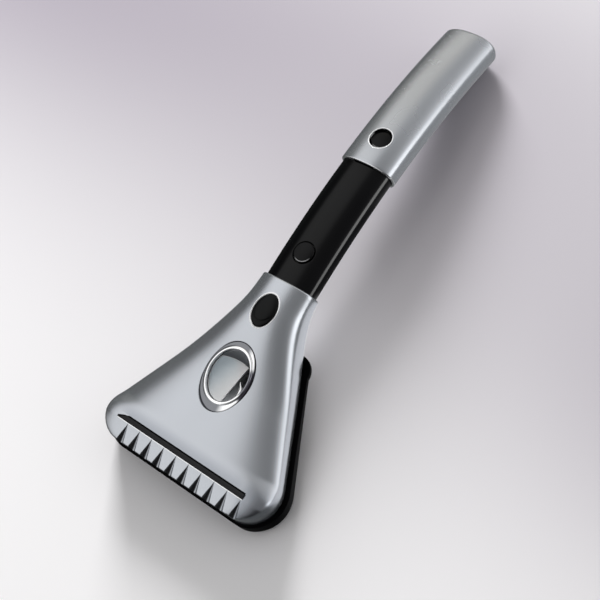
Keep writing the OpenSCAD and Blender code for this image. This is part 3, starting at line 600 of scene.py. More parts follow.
def moulded(name, color, rough, grain=0.12, grain_scale=1800, specular=0.5):
    """Moulded plastic: a fine grain in the surface and slight change of gloss."""
    s = Shader(name)
    wide = s.noise(90, 3.0)
    tone = s.blend(wide, tuple(c * 0.9 for c in color), tuple(min(1, c * 1.12) for c in color))
    return s.surface(Base_Color=tone, Roughness=(rough + (wide - 0.5) * 0.08), Specular_IOR_Level=specular,
            Normal=s.grain(grain_scale, grain))


def brushed(name, color, rough, along=(60, 6000, 6000)):
    """Brushed metal: noise drawn out along one direction in roughness and bump."""
    s = Shader(name)
    lines = s.noise(1.0, 2.0, 0.6, vector=s.place(along))
    return s.surface(Base_Color=s.blend(lines, tuple(c * 0.86 for c in color), color), Metallic=1.0,
            Roughness=(rough + (lines - 0.5) * 0.12), Normal=s.bump(lines, 0.15, 0.0001))


silver_tones = ((0.545, 0.567, 0.605), (0.475, 0.495, 0.53))
mouth_y = float(on_arch(0, MOUTH_S, HANDLE_H / 2)[1])
silver = paint_silver("silver_paint", *silver_tones, 0.90, 0.25)
head_silver = paint_silver("silver_paint_head", *silver_tones, 0.90, 0.25, head_edge_highlights, head_shade, head_hollow_shade)
handle_silver = paint_silver("silver_paint_handle", *silver_tones, 0.90, 0.27, handle_edge_highlights, None, handle_hollow_shade)
gloss_black = moulded("gloss_black", (0.0015, 0.0015, 0.0018), 0.13, 0.015, specular=0.17)
base_black = moulded("base_black", (0.0026, 0.0026, 0.0030), 0.42, 0.08, specular=0.012)
power_black = moulded("power_black", (0.0035, 0.004, 0.0042), 0.30, 0.05, specular=0.14)


def strip_rubber():
    """Squeegee's rubber: fine grain, with a painted shadow, near black, along its rear edge."""
    s = Shader("rubber_dark_strip")
    u, v, h = in_place(s, strip_place)
    wide = s.noise(90, 3.0)
    color = s.blend(wide, (0.024, 0.024, 0.026), (0.030, 0.030, 0.032))
    # painted shadow: near black along the rear edge, following the slanted end
    from_tip = v - u.ramp(-STRIP_W / 2, STRIP_SLANT - STRIP_W / 2) * (STRIP_L - STRIP_TIP)
    color = s.blend(from_tip.ramp(0.05, 0.20), color, (0.0004, 0.0004, 0.0005))
    return s.surface(Base_Color=color, Roughness=(wide * 0.08 + 0.50), Specular_IOR_Level=0.15,
            Normal=s.grain(1400, 0.2))


def snap_black_with_painted_light(name, place):
    """Push button: polished black, with a painted highlight arc near its edge along the front and the right, and a
    painted shade ring, near black, at the very edge.
    """
    s = Shader(name)
    u, v, h = in_place(s, place)
    share = oval_share(u, v, 2 * SNAP_R, 2 * SNAP_R)
    # painted highlight: a pale arc near the edge along the front and the right
    arc = share.ramp(0.86, 0.90) * (1 - share.ramp(0.94, 0.97)) * (u * 0.35 - v).ramp(2.8, 5.2)
    wide = s.noise(90, 3.0)
    color = s.blend(arc, s.blend(wide, (0.0027, 0.0027, 0.0032), (0.0034, 0.0034, 0.0039)), (0.42, 0.42, 0.43))
    # painted shade: near black at the very edge
    color = s.blend(share.ramp(0.955, 0.99), color, (0.0005, 0.0005, 0.0006))
    return s.surface(Base_Color=color, Roughness=(wide * 0.06 + 0.13), Specular_IOR_Level=0.13,
            Normal=s.grain(1800, 0.03))


rubber = strip_rubber()
bright_chrome = paint_silver("bright_chrome", POLISH_AND_HIGHLIGHT, (0.93, 0.93, 0.95), 1.0, 0.20)
steel = brushed("plain_steel", (0.56, 0.57, 0.59), 0.35)


def bezel_chrome_with_painted_light():
    """Bezel: metal painted with light and shade: a rim round the lens painted white as a highlight and darker on the
    right as shade, a grey flank painted bright towards both ends on its right side and with a painted shadow on the
    right, and a painted shadow line at its foot.
    """
    s = Shader("bright_silver_bezel")
    u, v, h = in_place(s, lens_place)
    rim = 1 - (oval_share(u, v, LENS_W + 2 * RIM, LENS_L + 2 * RIM) - 1).ramp(-0.015, 0.01)
    # painted shadow line at the bezel's foot, half as dark on the left
    foot = oval_share(u, v + LENS_BACK, BEZEL_W, BEZEL_L).ramp(0.967, 0.990)
    foot = foot * ((u * 0.8 + v * 0.3).ramp(-12.0, 3.0) * 0.5 + 0.5)
    # painted highlight on the flank, towards both ends on the right
    side = u.ramp(3.0, 7.5) * v.abs().ramp(6.0, 9.5)
    # painted shadow on the flank's right side
    shadow = u.ramp(8.0, 10.5) * (1 - (v + 0.5).abs().ramp(6.0, 9.0))
    flank = s.blend(side, (0.20, 0.205, 0.22), (0.95, 0.95, 0.96))
    flank = s.blend(shadow, flank, (0.05, 0.045, 0.06))
    # rim painted white as a highlight, and darker on its right as painted shade
    bright = s.blend(u.ramp(9.0, 11.0) * (1 - (v - 1).abs().ramp(5.0, 8.0)), POLISH_AND_HIGHLIGHT, (0.24, 0.24, 0.27))
    color = s.blend(foot, s.blend(rim, flank, bright), (0.03, 0.03, 0.035))
    fine = s.noise(2500, 2.0)
    return s.surface(Base_Color=color, Metallic=1.0, Roughness=(fine * 0.05 + 0.13),
            Normal=s.grain(500, 0.03))


def bowl_with_painted_light():
    """Reflector: dark plating, with painted shade near black beside the guide's straight side and painted light, near
    white, below it.
    """
    s = Shader("reflector_bowl")
    u, v, h = in_place(s, lens_place)
    # painted light below, and painted shade beside the guide's straight side
    low = 1 - v.ramp(-4.0, -1.0)
    dark = u.ramp(2.0, 7.5)
    color = s.blend(dark, (0.42, 0.43, 0.46), (0.004, 0.004, 0.005))
    color = s.blend(low, color, (0.97, 0.98, 1.0))
    return s.surface(Base_Color=color, Metallic=0.3, Roughness=(s.noise(300, 2.0) * 0.1 + 0.35),
            Specular_IOR_Level=0.15, Normal=s.grain(900, 0.05))


def guide_with_painted_shading():
    """Light guide: milky plate with painted shading, bluer and deeper on the left, paler towards the front and the
    right.
    """
    s = Shader("guide_white")
    u, v, h = in_place(s, lens_place)
    across = (u * 0.9 - v * 0.45 + (s.noise(160, 2.0) - 0.5) * 1.2).ramp(-9.0, 7.0)
    color = s.blend(across, (0.54, 0.63, 0.69), (0.95, 0.96, 0.97))
    # painted shading: a little greyer and warmer towards the front right
    warm = (u * 0.8 + v * 0.6).ramp(3.0, 7.5)
    color = s.blend(warm * 0.5, color, (0.74, 0.70, 0.71))
    return s.surface(Base_Color=color, Roughness=(s.noise(400, 2.0) * 0.1 + 0.22), Specular_IOR_Level=0.3,
            Normal=s.grain(700, 0.03))


bezel_metal_and_painted_light, mirror, guide_white = bezel_chrome_with_painted_light(), bowl_with_painted_light(), guide_with_painted_shading()
pale_edge = moulded("pale_edge", (0.9, 0.91, 0.93), 0.3, 0.03)
clear = Shader("clear_lens")
glass = clear.surface(Base_Color=(0.04, 0.045, 0.05, 1), Roughness=0.03, Alpha=(clear.noise(40, 2.0) * 0.04 + 0.04))


# ---- head shell
def head_rings(ahead, wall=0.0, drop=0.0, inset=0.0, edge=0.0, count=200):
    """Head's sections: superellipses from the parting line up to the deck, leaning with the arch at the neck."""
    c, s = circle(1440)
    a = np.asarray(ahead, float)[:, None]
    wall = np.broadcast_to(np.asarray(wall + np.asarray(inset), float).reshape(-1, 1), a.shape)
    drop = np.broadcast_to(np.asarray(drop, float).reshape(-1, 1), a.shape)
    nose = round_over(a - REACH + edge, edge) if edge else 0.0
    m = mid_z(a)
    p = np.where(s >= 0, top_power(a), mix(POWER, LOW_POWER, spread(a)))
    z = np.where(s >= 0, top_z(a) - nose - wall - m, m - low_z(a) - nose - wall + drop) * power(s, p)
    lean = NECK_AHEAD / ARCH_R * (1 - spread(a))
    x = (half(a) - wall) * power(c, p)
    return evenly(np.stack([x, CROWN_Y - a - z * np.tan(lean), m + z], -1), count)


def groove_cutter(x0):
    """One groove: it starts at the strip and grows in width and depth to the front, with a parabola's section."""
    run = STRIP_BACK + BASE_TOE
    v = np.linspace(-1, 1, 17)
    rings = []
    for u in np.linspace(0.0, run, 9):
        grow = max(u, 0.25) / STRIP_BACK
        a = STRIP_AHEAD + u
        surface = DECK_H - u * tan(LIP_FALL)
        w, d = GROOVE_W / 2 * grow, GROOVE_D * grow
        floor = np.stack([x0 + w * v, np.full(17, CROWN_Y - a), surface - d * (1 - v * v)], -1)
        lid = np.stack([x0 + w * v[::-1], np.full(17, CROWN_Y - a), np.full(17, surface + 3.0)], -1)
        rings.append(np.vstack([floor, lid]))
    return build("groove", rings)


def oval_rings(place, sizes, count=160):
    """Ovals of a width, a length and a height above a place, one ring each."""
    c, s = circle(count)
    return np.array([place.out(w / 2 * c, l / 2 * s, z) for w, l, z in sizes])


def strip_plan(gap, z):
    """Outline of the squeegee strip from above: a bar with one end cut on the slant."""
    x, y = STRIP_W / 2 - gap, STRIP_L - gap
    return strip_place.out(np.array([-x, x, x, STRIP_SLANT - x, -x]), np.array([gap, gap, y, y, STRIP_TIP]), z)


def box_cutter(place, low, high):
    """Cutter with six flat sides in a tilted frame."""
    (x0, y0, z0), (x1, y1, z1) = low, high
    ring = lambda z: place.out(np.array([x0, x1, x1, x0]), np.array([y0, y0, y1, y1]), z)
    return build("box", [ring(z0), ring(z1)])


corner_turns = np.radians(90 - np.linspace(0, 90 + degrees(FLARE), 46))
mouth_turns = quarter(0, 90, 6)
head_ahead = np.concatenate([CORNER_AHEAD + CORNER_R * np.sin(corner_turns),
        np.linspace(CORNER_START, NECK_AHEAD + NECK_ROUND, 64)[1:],
        NECK_AHEAD + NECK_ROUND * (1 - np.sin(mouth_turns[1:]))])
head_inset = np.concatenate([np.zeros(len(head_ahead) - 5), NECK_ROUND * (1 - np.cos(mouth_turns[1:]))])
head = build("head_shell_skin", head_rings(head_ahead, inset=head_inset, edge=HEAD_EDGE))

hollow_ahead = np.linspace(REACH - FRONT_SOLID, NECK_AHEAD + REAR_SOLID, 40)
hollow = build("hollow", head_rings(hollow_ahead, wall=WALL, count=96,
        drop=np.where(hollow_ahead > BASE_REAR + 6, WALL + 1, 0)))
socket = build("socket", sweep(TUBE_W + 2 * SEAT, TUBE_H + 2 * SEAT, np.linspace(TUBE_FRONT_S - 1, -NECK_AHEAD + 2, 8)))
cutters = [hollow, socket,
        well(button_place, BUTTON_W, BUTTON_L, 6, 0.5, deck_surface),
        well(lamp_place, BEZEL_W + 2 * BEZEL_GAP, BEZEL_L + 2 * BEZEL_GAP, BEZEL_SEAT, 0.25, deck_surface),
        build("foot_hole", oval_rings(lens_place, [(FOOT_W + 2 * SEAT, FOOT_L + 2 * SEAT, z) for z in (-5, 3)])),
        build("strip_slot", [strip_plan(0.0, z) for z in (-STRIP_FOOT, 5)])]
cutters += [groove_cutter(GROOVE_SHIFT + (i - (GROOVES - 1) / 2) * GROOVE_PITCH) for i in range(GROOVES)]
cut(head, cutters)
dress(head, head_silver, ["head_shell"])


# ---- base
def base_half(a, lip):
    """Base's half width: the head's outline with a lip, and rounded rear corners."""
    r, c = BASE_REAR_R, BASE_REAR + BASE_REAR_R
    rear = side(np.full_like(a, c), lip) - r + np.sqrt(np.maximum(0, r * r - np.minimum(a - c, 0) ** 2))
    return np.where(a < c, rear, half(a, lip))


def base_rings(ahead, lip, wall=0.0, rise=0.0, nose=0.0):
    """Base's sections: upright sides between a rounded lower edge and a small rounding at the top."""
    a = np.asarray(ahead, float)[:, None]
    b = base_half(a, np.asarray(lip).reshape(-1, 1)) - wall
    past = round_over(a - BASE_FRONT + nose, nose) if nose else 0.0
    z0, z1, r, edge = base_z(a) + wall + past, parting_z(a) - SEAT + rise - past, BASE_EDGE, BASE_TOP_EDGE
    t = quarter(0, 90, 13)
    upper_x, upper_z = b - edge + edge * np.sin(t), z1 - edge + edge * np.cos(t)
    lower_x, lower_z = b - r + r * np.cos(t), z0 + r - r * np.sin(t)
    x = np.concatenate([upper_x, lower_x, -lower_x[:, ::-1], -upper_x[:, ::-1]], 1)
    z = np.concatenate([upper_z, lower_z, lower_z[:, ::-1], upper_z[:, ::-1]], 1)
    return np.stack([x, CROWN_Y - a + 0 * x, z], -1)


base_turns = CORNER_AHEAD + (BASE_FRONT - CORNER_AHEAD) * np.sin(corner_turns)
rear_turns = BASE_REAR + BASE_REAR_R * (1 - np.sin(quarter(0, 90, 20)))
base_ahead = np.concatenate([base_turns, np.linspace(base_turns[-1], BASE_REAR + BASE_REAR_R, 20)[1:-1], rear_turns])
base_lips = mix(BASE_LIP, BASE_TOE, ease((base_ahead - CORNER_AHEAD) / CORNER_R))
base = build("head_base_skin", base_rings(base_ahead, base_lips, nose=0.8))
inner_ahead = np.linspace(REACH - 16.3, BASE_REAR + BASE_WALL + 1, 30)
# the screws' places, ahead of the crown and off the middle: beside the blade's rear edge, and near the rear corners
front_screw = (BASE_FRONT - BLADE_L - 3.2, BLADE_W / 2 + 4.2)
rear_screw = (BASE_REAR + 12.8, float(half(np.array(BASE_REAR + 12.8))) - 9.6)
base_cuts = [build("hollow", base_rings(inner_ahead, np.zeros(30), wall=BASE_WALL, rise=2)),
        box_cutter(on_sole(BASE_FRONT), (-BLADE_W / 2 - FIT, -3, -3),
        (BLADE_W / 2 + FIT, BLADE_L + FIT, BLADE_T - BLADE_PROUD))]
c, s = circle(48)
for (a, x), steps in ((front_screw, SCREW_HOLE), (rear_screw, SCREW_HOLE), ((CONTACT_AHEAD, CONTACT_X), CONTACT_HOLE)):
    for m in (-1, 1):
        base_cuts.append(build("hole", [on_sole(a).out(m * x + r * c, r * s, z) for r, z in steps]))
cut(base, base_cuts)
dress(base, base_black, ["head_base"])


# ---- tube and handle
tube = build("extension_tube_skin", sweep(TUBE_W, TUBE_H, np.linspace(TUBE_FRONT_S, TUBE_REAR_S, 90)))
tube_cuts = [build("bore", sweep(TUBE_W - 2 * TUBE_WALL, TUBE_H - 2 * TUBE_WALL,
        np.linspace(TUBE_FRONT_S - 1, TUBE_REAR_S + 1, 60), count=96))]
snap_w = 2 * (SNAP_R + SNAP_GAP)
tube_cuts += [well(at_arch(s), snap_w, snap_w, 0, 0.3, swept_surface(TUBE_W, TUBE_H))
        for s in (FRONT_SNAP_S, REAR_SNAP_S)]
cut(tube, tube_cuts)
dress(tube, gloss_black, ["extension_tube"])

turns = quarter(0, 90, 8)
handle_s = np.concatenate([MOUTH_S + MOUTH_ROUND * (1 - np.cos(turns)),
        np.linspace(MOUTH_S + MOUTH_ROUND, CAP_S, 90)[1:]])
handle_in = np.concatenate([MOUTH_ROUND * (1 - np.sin(turns)), np.zeros(89)])
handle = build("handle_shell_skin", sweep(HANDLE_W, HANDLE_H, handle_s, handle_in))
bore = build("bore", sweep(BORE_W, BORE_H, np.linspace(MOUTH_S - 1, CAP_S + 1, 60), count=96))
key_x, key_h = np.array([-1, 1, 1, -1]) * (KEYWAY_W / 2 + KEYWAY_EASE), np.array([0, 0, KEYWAY_TOP, KEYWAY_TOP])
keyway = build("keyway", [on_arch(key_x, s, key_h) for s in np.linspace(MOUTH_S - 1, BORE_END_S, 40)])
lock_hole = well(lock_place, LOCK_W, LOCK_W, 0, 0.5, swept_surface(HANDLE_W, HANDLE_H))
cut(handle, [bore, keyway, lock_hole])
dress(handle, handle_silver, ["handle_shell"], "handle")

turns = quarter(0, 90, 14)
cap_s = np.concatenate([[CAP_S], END_S - END_ROUND + END_ROUND * np.sin(turns)])
cap_in = np.concatenate([[0], END_ROUND * (1 - np.cos(turns))])
cap_rings = sweep(HANDLE_W, HANDLE_H, cap_s, cap_in)
centre = cap_rings[-1].mean(0)
cap_rings = np.concatenate([cap_rings, [centre + (cap_rings[-1] - centre) * k for k in (0.8, 0.5, 0.2, 0.0)]])
plug = sweep(BORE_W - 2 * SEAT, BORE_H - 2 * SEAT, [BORE_END_S, CAP_S])
cap = build("handle_end_cap_skin", np.concatenate([plug, cap_rings]))
dress(cap, silver, ["handle_end_cap"], "handle")


# ---- buttons
def snap_profile():
    """Push button: a shallow dome, a small rounding, the stem and the flange under the tube's wall."""
    dome_r = (SNAP_R**2 + SNAP_DOME**2) / SNAP_DOME / 2
    flat = SNAP_R - SNAP_ROUND
    top = [(r, SNAP_TOP - dome_r + sqrt(dome_r**2 - r * r)) for r in np.linspace(0.0, flat, 12)]
    z = top[-1][1] - 0.08 - SNAP_ROUND
    edge = [(flat + SNAP_ROUND * sin(t), z + SNAP_ROUND * cos(t)) for t in quarter(12, 90, 7)]
    flange = [(SNAP_R, SNAP_FLANGE), (SNAP_FLANGE_R, SNAP_FLANGE)]
    return top + edge + flange + [(r, SNAP_FLANGE - SNAP_FLANGE_T) for r in (SNAP_FLANGE_R, 0.0)]


SNAPS = (("front_snap", FRONT_SNAP_S), ("rear_snap", REAR_SNAP_S))
for snap, s in SNAPS:
    place, name = at_arch(s), snap + "_button"
    skin = build(name + "_skin", oval_rings(place, [(2 * r, 2 * r, z) for r, z in snap_profile()], 96))
    dress(skin, snap_black_with_painted_light(name + "_black", place), [name], snap)


def leaf_rings(place):
    """Bent leaf spring: an outline from the tube's floor up to a crest and down, its bends softened, carried across."""
    crest = LEAF_TOP - LEAF_T
    up = [(-LEAF_L / 2, LEAF_FOOT), (-LEAF_W / 4, crest), (LEAF_W / 4, crest), (LEAF_L / 2, LEAF_FOOT)]
    low, high = softened(up), softened([(y, z + LEAF_T) for y, z in up[::-1]])
    outline = np.vstack([low, high])
    return [place.out(x, outline[:, 0], outline[:, 1]) for x in np.linspace(-LEAF_W / 2, LEAF_W / 2, 5)]


# a leaf spring under each button
for snap, s in SNAPS:
    p, name = at_arch(s), snap + "_spring"
    leaf = dress(build(name + "_leaf", leaf_rings(p)), steel, [name])
    -p.s
    tuple(p.out(0, 0, LEAF_FOOT) * MM)
    1 - (PRESS + 0.02) / (LEAF_TOP - LEAF_FOOT)
    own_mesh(leaf)


def power_top(x, y, w, l):
    """Power button's height: a soft dome by the share of its radius, with a shallow step down towards the lip."""
    share = np.minimum(np.sqrt((x / w) ** 2 + (y / l) ** 2), 1)
    dome = BUTTON_DOME * (1 - share**3.2) ** 0.6
    past = (np.sqrt((x / w) ** 2 + ((y - STEP_BACK * l) / l) ** 2) - STEP_SHARE) * l
    return dome - STEP_DROP * ease(past / STEP_SOFT) * ease((-y - 0.1 * l) / (0.2 * l)) * (1 - share**8)


c, s = circle(128)
w, l = BUTTON_W / 2 - BUTTON_GAP, BUTTON_L / 2 - BUTTON_GAP
under = -WALL - FLANGE_DROP
shares = np.concatenate([np.linspace(0, 0.9, 46), 0.9 + 0.1 * np.sin(quarter(10, 90, 9))])
rings = [button_place.out(r * w * c, r * l * s, power_top(r * w * c, r * l * s, w, l)) for r in shares]
rings += [button_place.out((w + e) * c, (l + e) * s, z) for e, z in
        ((0, under), (FLANGE_OUT / 2, under), (FLANGE_OUT / 2, under - FLANGE_T))]
rings += [button_place.out(0 * c, 0 * s, under - FLANGE_T)]
dress(build("power_button_skin", rings), power_black, ["power_button"], "power")


# ---- lamp
def bezel_oval(t, z, grow=0.0):
    """Bezel's oval between its outer edge at 0 and the lens's edge, grown by a distance, at 1."""
    c, s = circle(192)
    w, l = mix(BEZEL_W, LENS_W + 2 * grow, t) / 2, mix(BEZEL_L, LENS_L + 2 * grow, t) / 2
    return lamp_place.out(w * c, l * s + LENS_BACK * t, z)


# round rim beside the lens, then the flank that falls to the foot
rim = softened([(0, 0.1), (0, 0.7 * BEZEL_H), (0.10 * RIM, BEZEL_H * 0.93), (0.5 * RIM, BEZEL_H),
        (0.85 * RIM, BEZEL_H * 0.85), (RIM, BEZEL_H * 0.4)])
flank = softened([(1, BEZEL_H * 0.38), (0.85, BEZEL_H * 0.62), (0.35, BEZEL_H * 0.55), (0.08, BEZEL_H * 0.45),
        (0, BEZEL_H * 0.2)])
foot = oval_rings(lens_place, [(FOOT_W, FOOT_L, z) for z in (SEAT - BEZEL_SEAT, -WALL)], 192)
bezel_rings = [bezel_oval(1, -WALL)] + [bezel_oval(1, z, g) for g, z in rim] + [bezel_oval(t, z, RIM) for t, z in flank]
bezel_rings += [bezel_oval(0, SEAT - BEZEL_SEAT)]
dress(build("lens_bezel_skin", np.concatenate([bezel_rings, foot]), ends="loop"),
        bezel_metal_and_painted_light, ["lens_bezel"], edge_angle=50)

w, l = LENS_W - FIT, LENS_L - FIT
lens_rings = [(w * k, l * k, LENS_EDGE + 0.3 * LENS_T * (1 - k * k)) for k in np.linspace(0, 1, 16)]
lens_rings += [(w, l, LENS_EDGE - 0.7 * LENS_T), (0, 0, LENS_EDGE - 0.7 * LENS_T)]
dress(build("lamp_lens_skin", oval_rings(lens_place, lens_rings)), glass, ["lamp_lens"])

# reflector: a bowl from the throat round the lamp to a rim under the bezel's foot
w, l, throat = FOOT_W - FIT, FOOT_L - FIT, 2 * (LED_R + FIT)


def bowl_side(start, share, bend, steps):
    """One side of the bowl: from the throat out to a share of its rim, by a power of the height."""
    return [(mix(start, w * share, v**bend), mix(start, l * share, v**bend), REFLECTOR_D * v - WALL - REFLECTOR_D)
            for v in steps]


steps = np.linspace(0, 1, 24)
bowl = bowl_side(throat, 0.93, 0.55, steps) + [(w, l, -WALL)] + bowl_side(2 * throat, 1, 0.6, steps[::-1][1:])
dress(build("lamp_bowl", oval_rings(lens_place, bowl), "loop"), mirror, ["lamp_reflector"])


def guide_outline(z, grow=0.0):
    """Light guide's outline: the lens's oval, cut by a straight side and by a flat arc towards the handle."""
    c, s = circle(240)
    oval = 1 / np.sqrt((c / (LENS_W / 2 - GUIDE_GAP + grow)) ** 2 + (s / (LENS_L / 2 - GUIDE_GAP + grow)) ** 2)
    (nx, ny), reach = GUIDE_SIDE
    straight = np.where(c * nx + s * ny > 1e-3, (reach + grow) / np.maximum(c * nx + s * ny, 1e-3), FAR)
    (cx, cy), radius = GUIDE_ARC
    toward = c * cx + s * cy
    arc = toward + np.sqrt(toward**2 - cx * cx - cy * cy + (radius + grow) ** 2)
    r = np.minimum(np.minimum(oval, straight), arc)
    return lens_place.out(r * c, r * s, z)


# the guide's and its border's rings, as a height and how far the outline grows
guide = [guide_outline(*ring) for ring in ((-5.0, -2.5), (-1.6,), (-1.15,), (-1.0, -0.15))]
dress(build("light_guide", guide), guide_white)
border = [guide_outline(*ring) for ring in ((-1.05, -0.3), (-0.93, -0.27), (-0.9, -0.12), (-1.0, 0.0), (-1.2, 0.01))]
dress(build("guide_border", border, ends="loop"), pale_edge)

# bright clip between the guide's straight side and the rim: a curved spike that widens to its foot
spine = softened([(7.3, 0.1), (8.6, -1.5), (9.7, -3.0), (10.0, -4.6), (9.6, -6.8)], 3)
wide = np.interp(np.linspace(0, 1, len(spine)), [0, 0.35, 0.6, 1], [0.08, 0.6, 1.25, 0.7])
slope = np.gradient(spine, axis=0)
off = np.stack([-slope[:, 1], slope[:, 0]], -1) / np.linalg.norm(slope, axis=1)[:, None]
c, s = circle(16)
clip = [lens_place.out(p[0] + w * o[0] * c, p[1] + w * o[1] * c, -0.95 + 0.35 * w * s)
        for p, w, o in zip(spine, wide, off)]
dress(build("guide_clip", clip), bright_chrome)


# ---- squeegee strip
# its section as distance from the front edge and height: foot, rear edge, crown and front edge
l, gap = STRIP_L - 2 * SEAT, 0.5
profile = softened([(0, SEAT - STRIP_FOOT), (l, SEAT - STRIP_FOOT), (l, -1.2), (l - gap, -1.0),
        (l - gap, STRIP_PROUD - 0.15), (l - gap - 0.4, STRIP_PROUD * 1.1),
        (0.15, STRIP_PROUD * 0.53), (0, STRIP_PROUD * 0.3)])
run = np.linspace(0, 1, 60)[:, None]
cut_back = STRIP_SLANT * np.maximum(profile[:, 0] - STRIP_TIP, 0) / (STRIP_L - STRIP_TIP)
x = mix(SEAT - STRIP_W / 2 + cut_back, STRIP_W / 2 - SEAT, run)
strip = build("squeegee_strip_skin", strip_place.out(x, SEAT + profile[:, 0], profile[:, 1]))
dress(strip, rubber, ["squeegee_strip"])


# ---- finishes of the nodes that stay as the CAD has them
for material, names in (
        (brushed("blade_steel", (0.62, 0.63, 0.65), 0.28), "scraper_blade"),
        (moulded("heater_ceramic", (0.72, 0.69, 0.62), 0.5), "heater_bar"),
        (moulded("mica_brown", (0.24, 0.17, 0.11), 0.45, 0.2, 500), "heater_cover"),
        (steel, "thermal_cutout joiner_screws base_screws battery_contacts"),
        (moulded("board_green", (0.03, 0.16, 0.07), 0.35, 0.05, 600), "lamp_board control_board switch_board"),
        (moulded("inner_black", (0.03, 0.03, 0.033), 0.5, 0.2), "neck_joiner tube_end_plug"),
        (moulded("lead_red", (0.36, 0.02, 0.02), 0.45), "power_leads"),
        (moulded("lead_cream", (0.66, 0.61, 0.5), 0.5), "heater_leads"),
        (brushed("contact_brass", (0.75, 0.6, 0.3), 0.25, (3000, 3000, 60)), "charge_contacts"),
        (moulded("cell_blue", (0.04, 0.15, 0.38), 0.3), "battery_cells")):
    for n in names.split():
        nodes[n].data.materials.clear()
        nodes[n].data.materials.append(material)


# ---- floor, light and camera
FLOOR = 6.0
mesh = bpy.data.meshes.new("floor")
mesh.from_pydata([(x * FLOOR, y * FLOOR, 0) for x, y in ((-1, -1), (1, -1), (1, 1), (-1, 1))], [], [(0, 1, 2, 3)])
floor = into_scene("floor", mesh)
f = Shader("floor_paper")
x, y, z = f.split(f.place())


def patch(x0, y0, wide, deep):
    """Painted shade on the paper: a soft darker patch, a bell curve round a point, in metres."""
    return (0 - ((x - x0) / wide).power(2) - ((y - y0) / deep).power(2)).exp()


# painted shade: the paper darkens to lilac-grey in a wide patch to the left and rear and a small one to the right
dull = patch(-0.417, 0.108, 0.81, 0.177) * 0.62 + patch(0.289, -0.004, 0.168, 0.079) * 0.28
paper = f.blend(dull, (0.995, 0.985, 0.995), (0.05, 0.0, 0.085))
# outputs of the light path: camera, glossy and transmission rays
CAMERA, GLOSSY, THROUGH = 0, 3, 6
seen = sum(f.node("ShaderNodeLightPath", output=k) for k in (CAMERA, GLOSSY, THROUGH)).clamp()
paper = f.blend(seen, (0.85, 0.85, 0.86), paper)
diffuse = f.node("ShaderNodeBsdfDiffuse", {}, {"Color": paper})
# polished and clear surfaces see the paper as a glowing card, a painted reflection without the object's shadow: bright
# only to the right beside the head, darker on the left of the object and beside the tube and the lip
flag = (y.ramp(-0.030, -0.022) * (1 - y.ramp(0.030, 0.040) * 0.3) + (1 - y.ramp(-0.137, -0.118))).clamp()
card = f.blend(x.ramp(-0.10, 0.03) * (1 - flag * 0.9), (0.05, 0.056, 0.052), (0.92, 0.92, 0.94))
shine = f.node("ShaderNodeEmission", {}, {"Color": card, "Strength": 1.0})
gloss = sum(f.node("ShaderNodeLightPath", output=k) for k in (GLOSSY, THROUGH)).clamp()
both = f.node("ShaderNodeMixShader", {}, {0: gloss, 1: diffuse, 2: shine})
f.tree.links.new(both.link, f.output.inputs["Surface"])
floor.data.materials.append(f.material)


def softbox(name, at, aim, size, watts):
    """Rectangular soft lamp at a point, turned to face another."""
    light = bpy.data.lights.new(name, "AREA")
    light.shape, light.size, light.size_y, light.energy = "RECTANGLE", *size, watts
    obj = into_scene(name, light)
    turn = (Vector(aim) - Vector(at)).to_track_quat("-Z", "Y")
    obj.matrix_world = Matrix.Translation(at) @ turn.to_matrix().to_4x4()
    return obj


key = softbox("key", (-1.18, 1.44, 0.62), (0, 0, 0), (0.62, 0.62), 62)
key.visible_glossy = False
# a long lamp low on the right that lights the tube alone, for the bright line along its side
edge_lamp = softbox("tube_lamp", (0.60, 0.20, 0.155), (0, 0, 0.03), (1.4, 0.29), 10.0)
lit = bpy.data.collections.new("lit_by_tube_lamp")
lit.objects.link(tube)
edge_lamp.light_linking.receiver_collection = lit

# Studio round the object: panels that run along it, as brightness by the angle from overhead towards +X, in degrees.
# One set stands over the head, one towards the handle's end and one in front of the lip.
# The corner's set is the head's as far as 30 degrees, then dull.
HEAD_PANELS = [
    (-180, 0.12), (-112, 0.10), (-88, 0.10), (-66, 0.07), (-56, 0.12), (-51, 0.35), (-48, 1.0), (-37, 1.25),
    (-29, 1.18), (-21, 1.05), (-15, 0.62), (-10, 0.34), (2, 0.26), (14, 0.24), (30, 0.24), (48, 0.33), (58, 0.7),
    (67, 2.3), (90, 3.0), (130, 1.6), (180, 0.2)]
HANDLE_PANELS = [
    (-180, 0.2), (-112, 0.18), (-88, 0.15), (-70, 0.28), (-56, 0.55), (-48, 0.84), (-38, 0.80), (-28, 0.62),
    (-16, 0.50), (0, 0.48), (16, 0.54), (30, 0.66), (44, 0.9), (58, 1.2), (72, 1.45), (90, 1.6), (130, 0.7),
    (180, 0.2)]
CORNER_PANELS = [row for row in HEAD_PANELS if row[0] <= 30] + [(56, 0.25), (90, 0.28), (130, 0.3), (180, 0.2)]
FRONT_PANELS = [
    (-180, 0.4), (-80, 0.5), (-60, 0.75), (-44, 1.2), (-28, 1.2), (-23, 0.8), (-16, 0.42), (-6, 0.26), (6, 0.15),
    (18, 0.06), (30, 0.02), (180, 0.02)]
world = bpy.data.worlds.new("studio")
scene.world = world
world.use_nodes = True
tree = world.node_tree
tree.nodes.clear()
studio = Shader.__new__(Shader)
studio.tree, studio.coords = tree, None
x, y, z = studio.split(studio.node("ShaderNodeTexCoord", output="Generated"))
angle = studio.node("ShaderNodeMath", {"operation": "ARCTAN2"}, {0: x, 1: z}) / (2 * pi) + 0.5
PANEL_TOP = 3.0
PLAIN = (1, 1, 1)


def panel_ring(row, tint=PLAIN, turn_at=0):
    """One set of panels as a colour by angle, tinted below the angle turn_at."""
    stops = [((a + 180) / 360, tuple(v * c / PANEL_TOP for c in (tint if a < turn_at else PLAIN))) for a, v in row]
    return studio.node("ShaderNodeValToRGB", {"stops": stops}, {"Fac": angle})


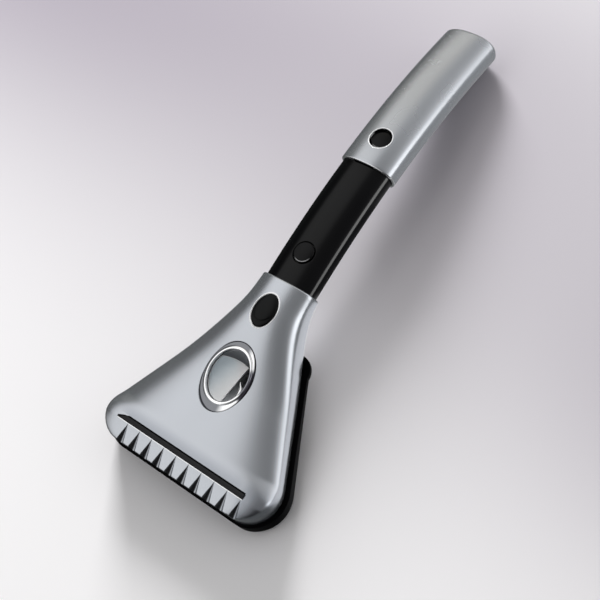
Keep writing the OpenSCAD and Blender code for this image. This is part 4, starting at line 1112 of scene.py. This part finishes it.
panels = [panel_ring(HEAD_PANELS, (0.95, 1.05, 0.98), -55), panel_ring(HANDLE_PANELS, (1.03, 1.0, 0.92), -25),
        panel_ring(CORNER_PANELS), panel_ring(FRONT_PANELS)]
glow = studio.blend(y.ramp(0.30, 0.60), panels[0], panels[1])
glow = studio.blend((0 - y).ramp(-0.30, -0.05), glow, panels[2])
glow = studio.blend((0 - y).ramp(0.28, 0.48), glow, panels[3])
background = studio.node("ShaderNodeBackground", {}, {"Color": glow, "Strength": PANEL_TOP})
out = tree.nodes.new("ShaderNodeOutputWorld")
tree.links.new(background.link, out.inputs["Surface"])

# Camera: right, up and back axes and place, fitted to the object's outlines in the photograph
ROLL, PHI, PSI = radians(-1.7295863), radians(31.1190639), radians(18.3657820)
CENTRE_X, CENTRE_Y, SCALE, NEARNESS, PHOTO, SENSOR = 356.5645957, 187.4607870, 1.8871617, 0.00172809153, 600, 36.0
GAUGE = 15.1 / ARCH_R
ALONG = np.array([0.55100241, -0.83450365])
ACROSS = np.array([0.83450365, 0.55100241])


def turn_in(a, i, j):
    """Turn by an angle in the plane of two axes: cosines on the diagonal, minus sine at i, j and sine at j, i."""
    m = np.eye(3)
    m[i, i], m[i, j], m[j, i], m[j, j] = cos(a), -sin(a), sin(a), cos(a)
    return m


turned = turn_in(ROLL, 0, 1) @ turn_in(PSI, 2, 1) @ turn_in(PHI, 0, 2)
gauge = turn_in(GAUGE, 2, 1)
to_row = gauge @ turned.T
right, up, back = (to_row @ np.array(v) for v in ((ACROSS[0], ALONG[0], 0), (-ACROSS[1], -ALONG[1], 0), (0, 0, 1)))
eye = gauge @ (turned.T @ np.array([0, 0, 1 / NEARNESS]) + np.array([0, 0, ARCH_R])) - np.array([0, 0, ARCH_R])
eye = eye + np.array([0, CROWN_Y, CROWN_Z])
lens = bpy.data.cameras.new("camera")
camera = into_scene("camera", lens)
camera.matrix_world = Matrix([[right[i], up[i], back[i], eye[i] * MM] for i in range(3)] + [[0, 0, 0, 1]])
lens.sensor_width = SENSOR
lens.lens = SCALE / NEARNESS * SENSOR / PHOTO
lens.shift_x, lens.shift_y = 0.5 - CENTRE_X / PHOTO, CENTRE_Y / PHOTO - 0.5
lens.clip_start, lens.clip_end = 0.01, 20
scene.camera = camera
scene.view_settings.view_transform = "Standard"
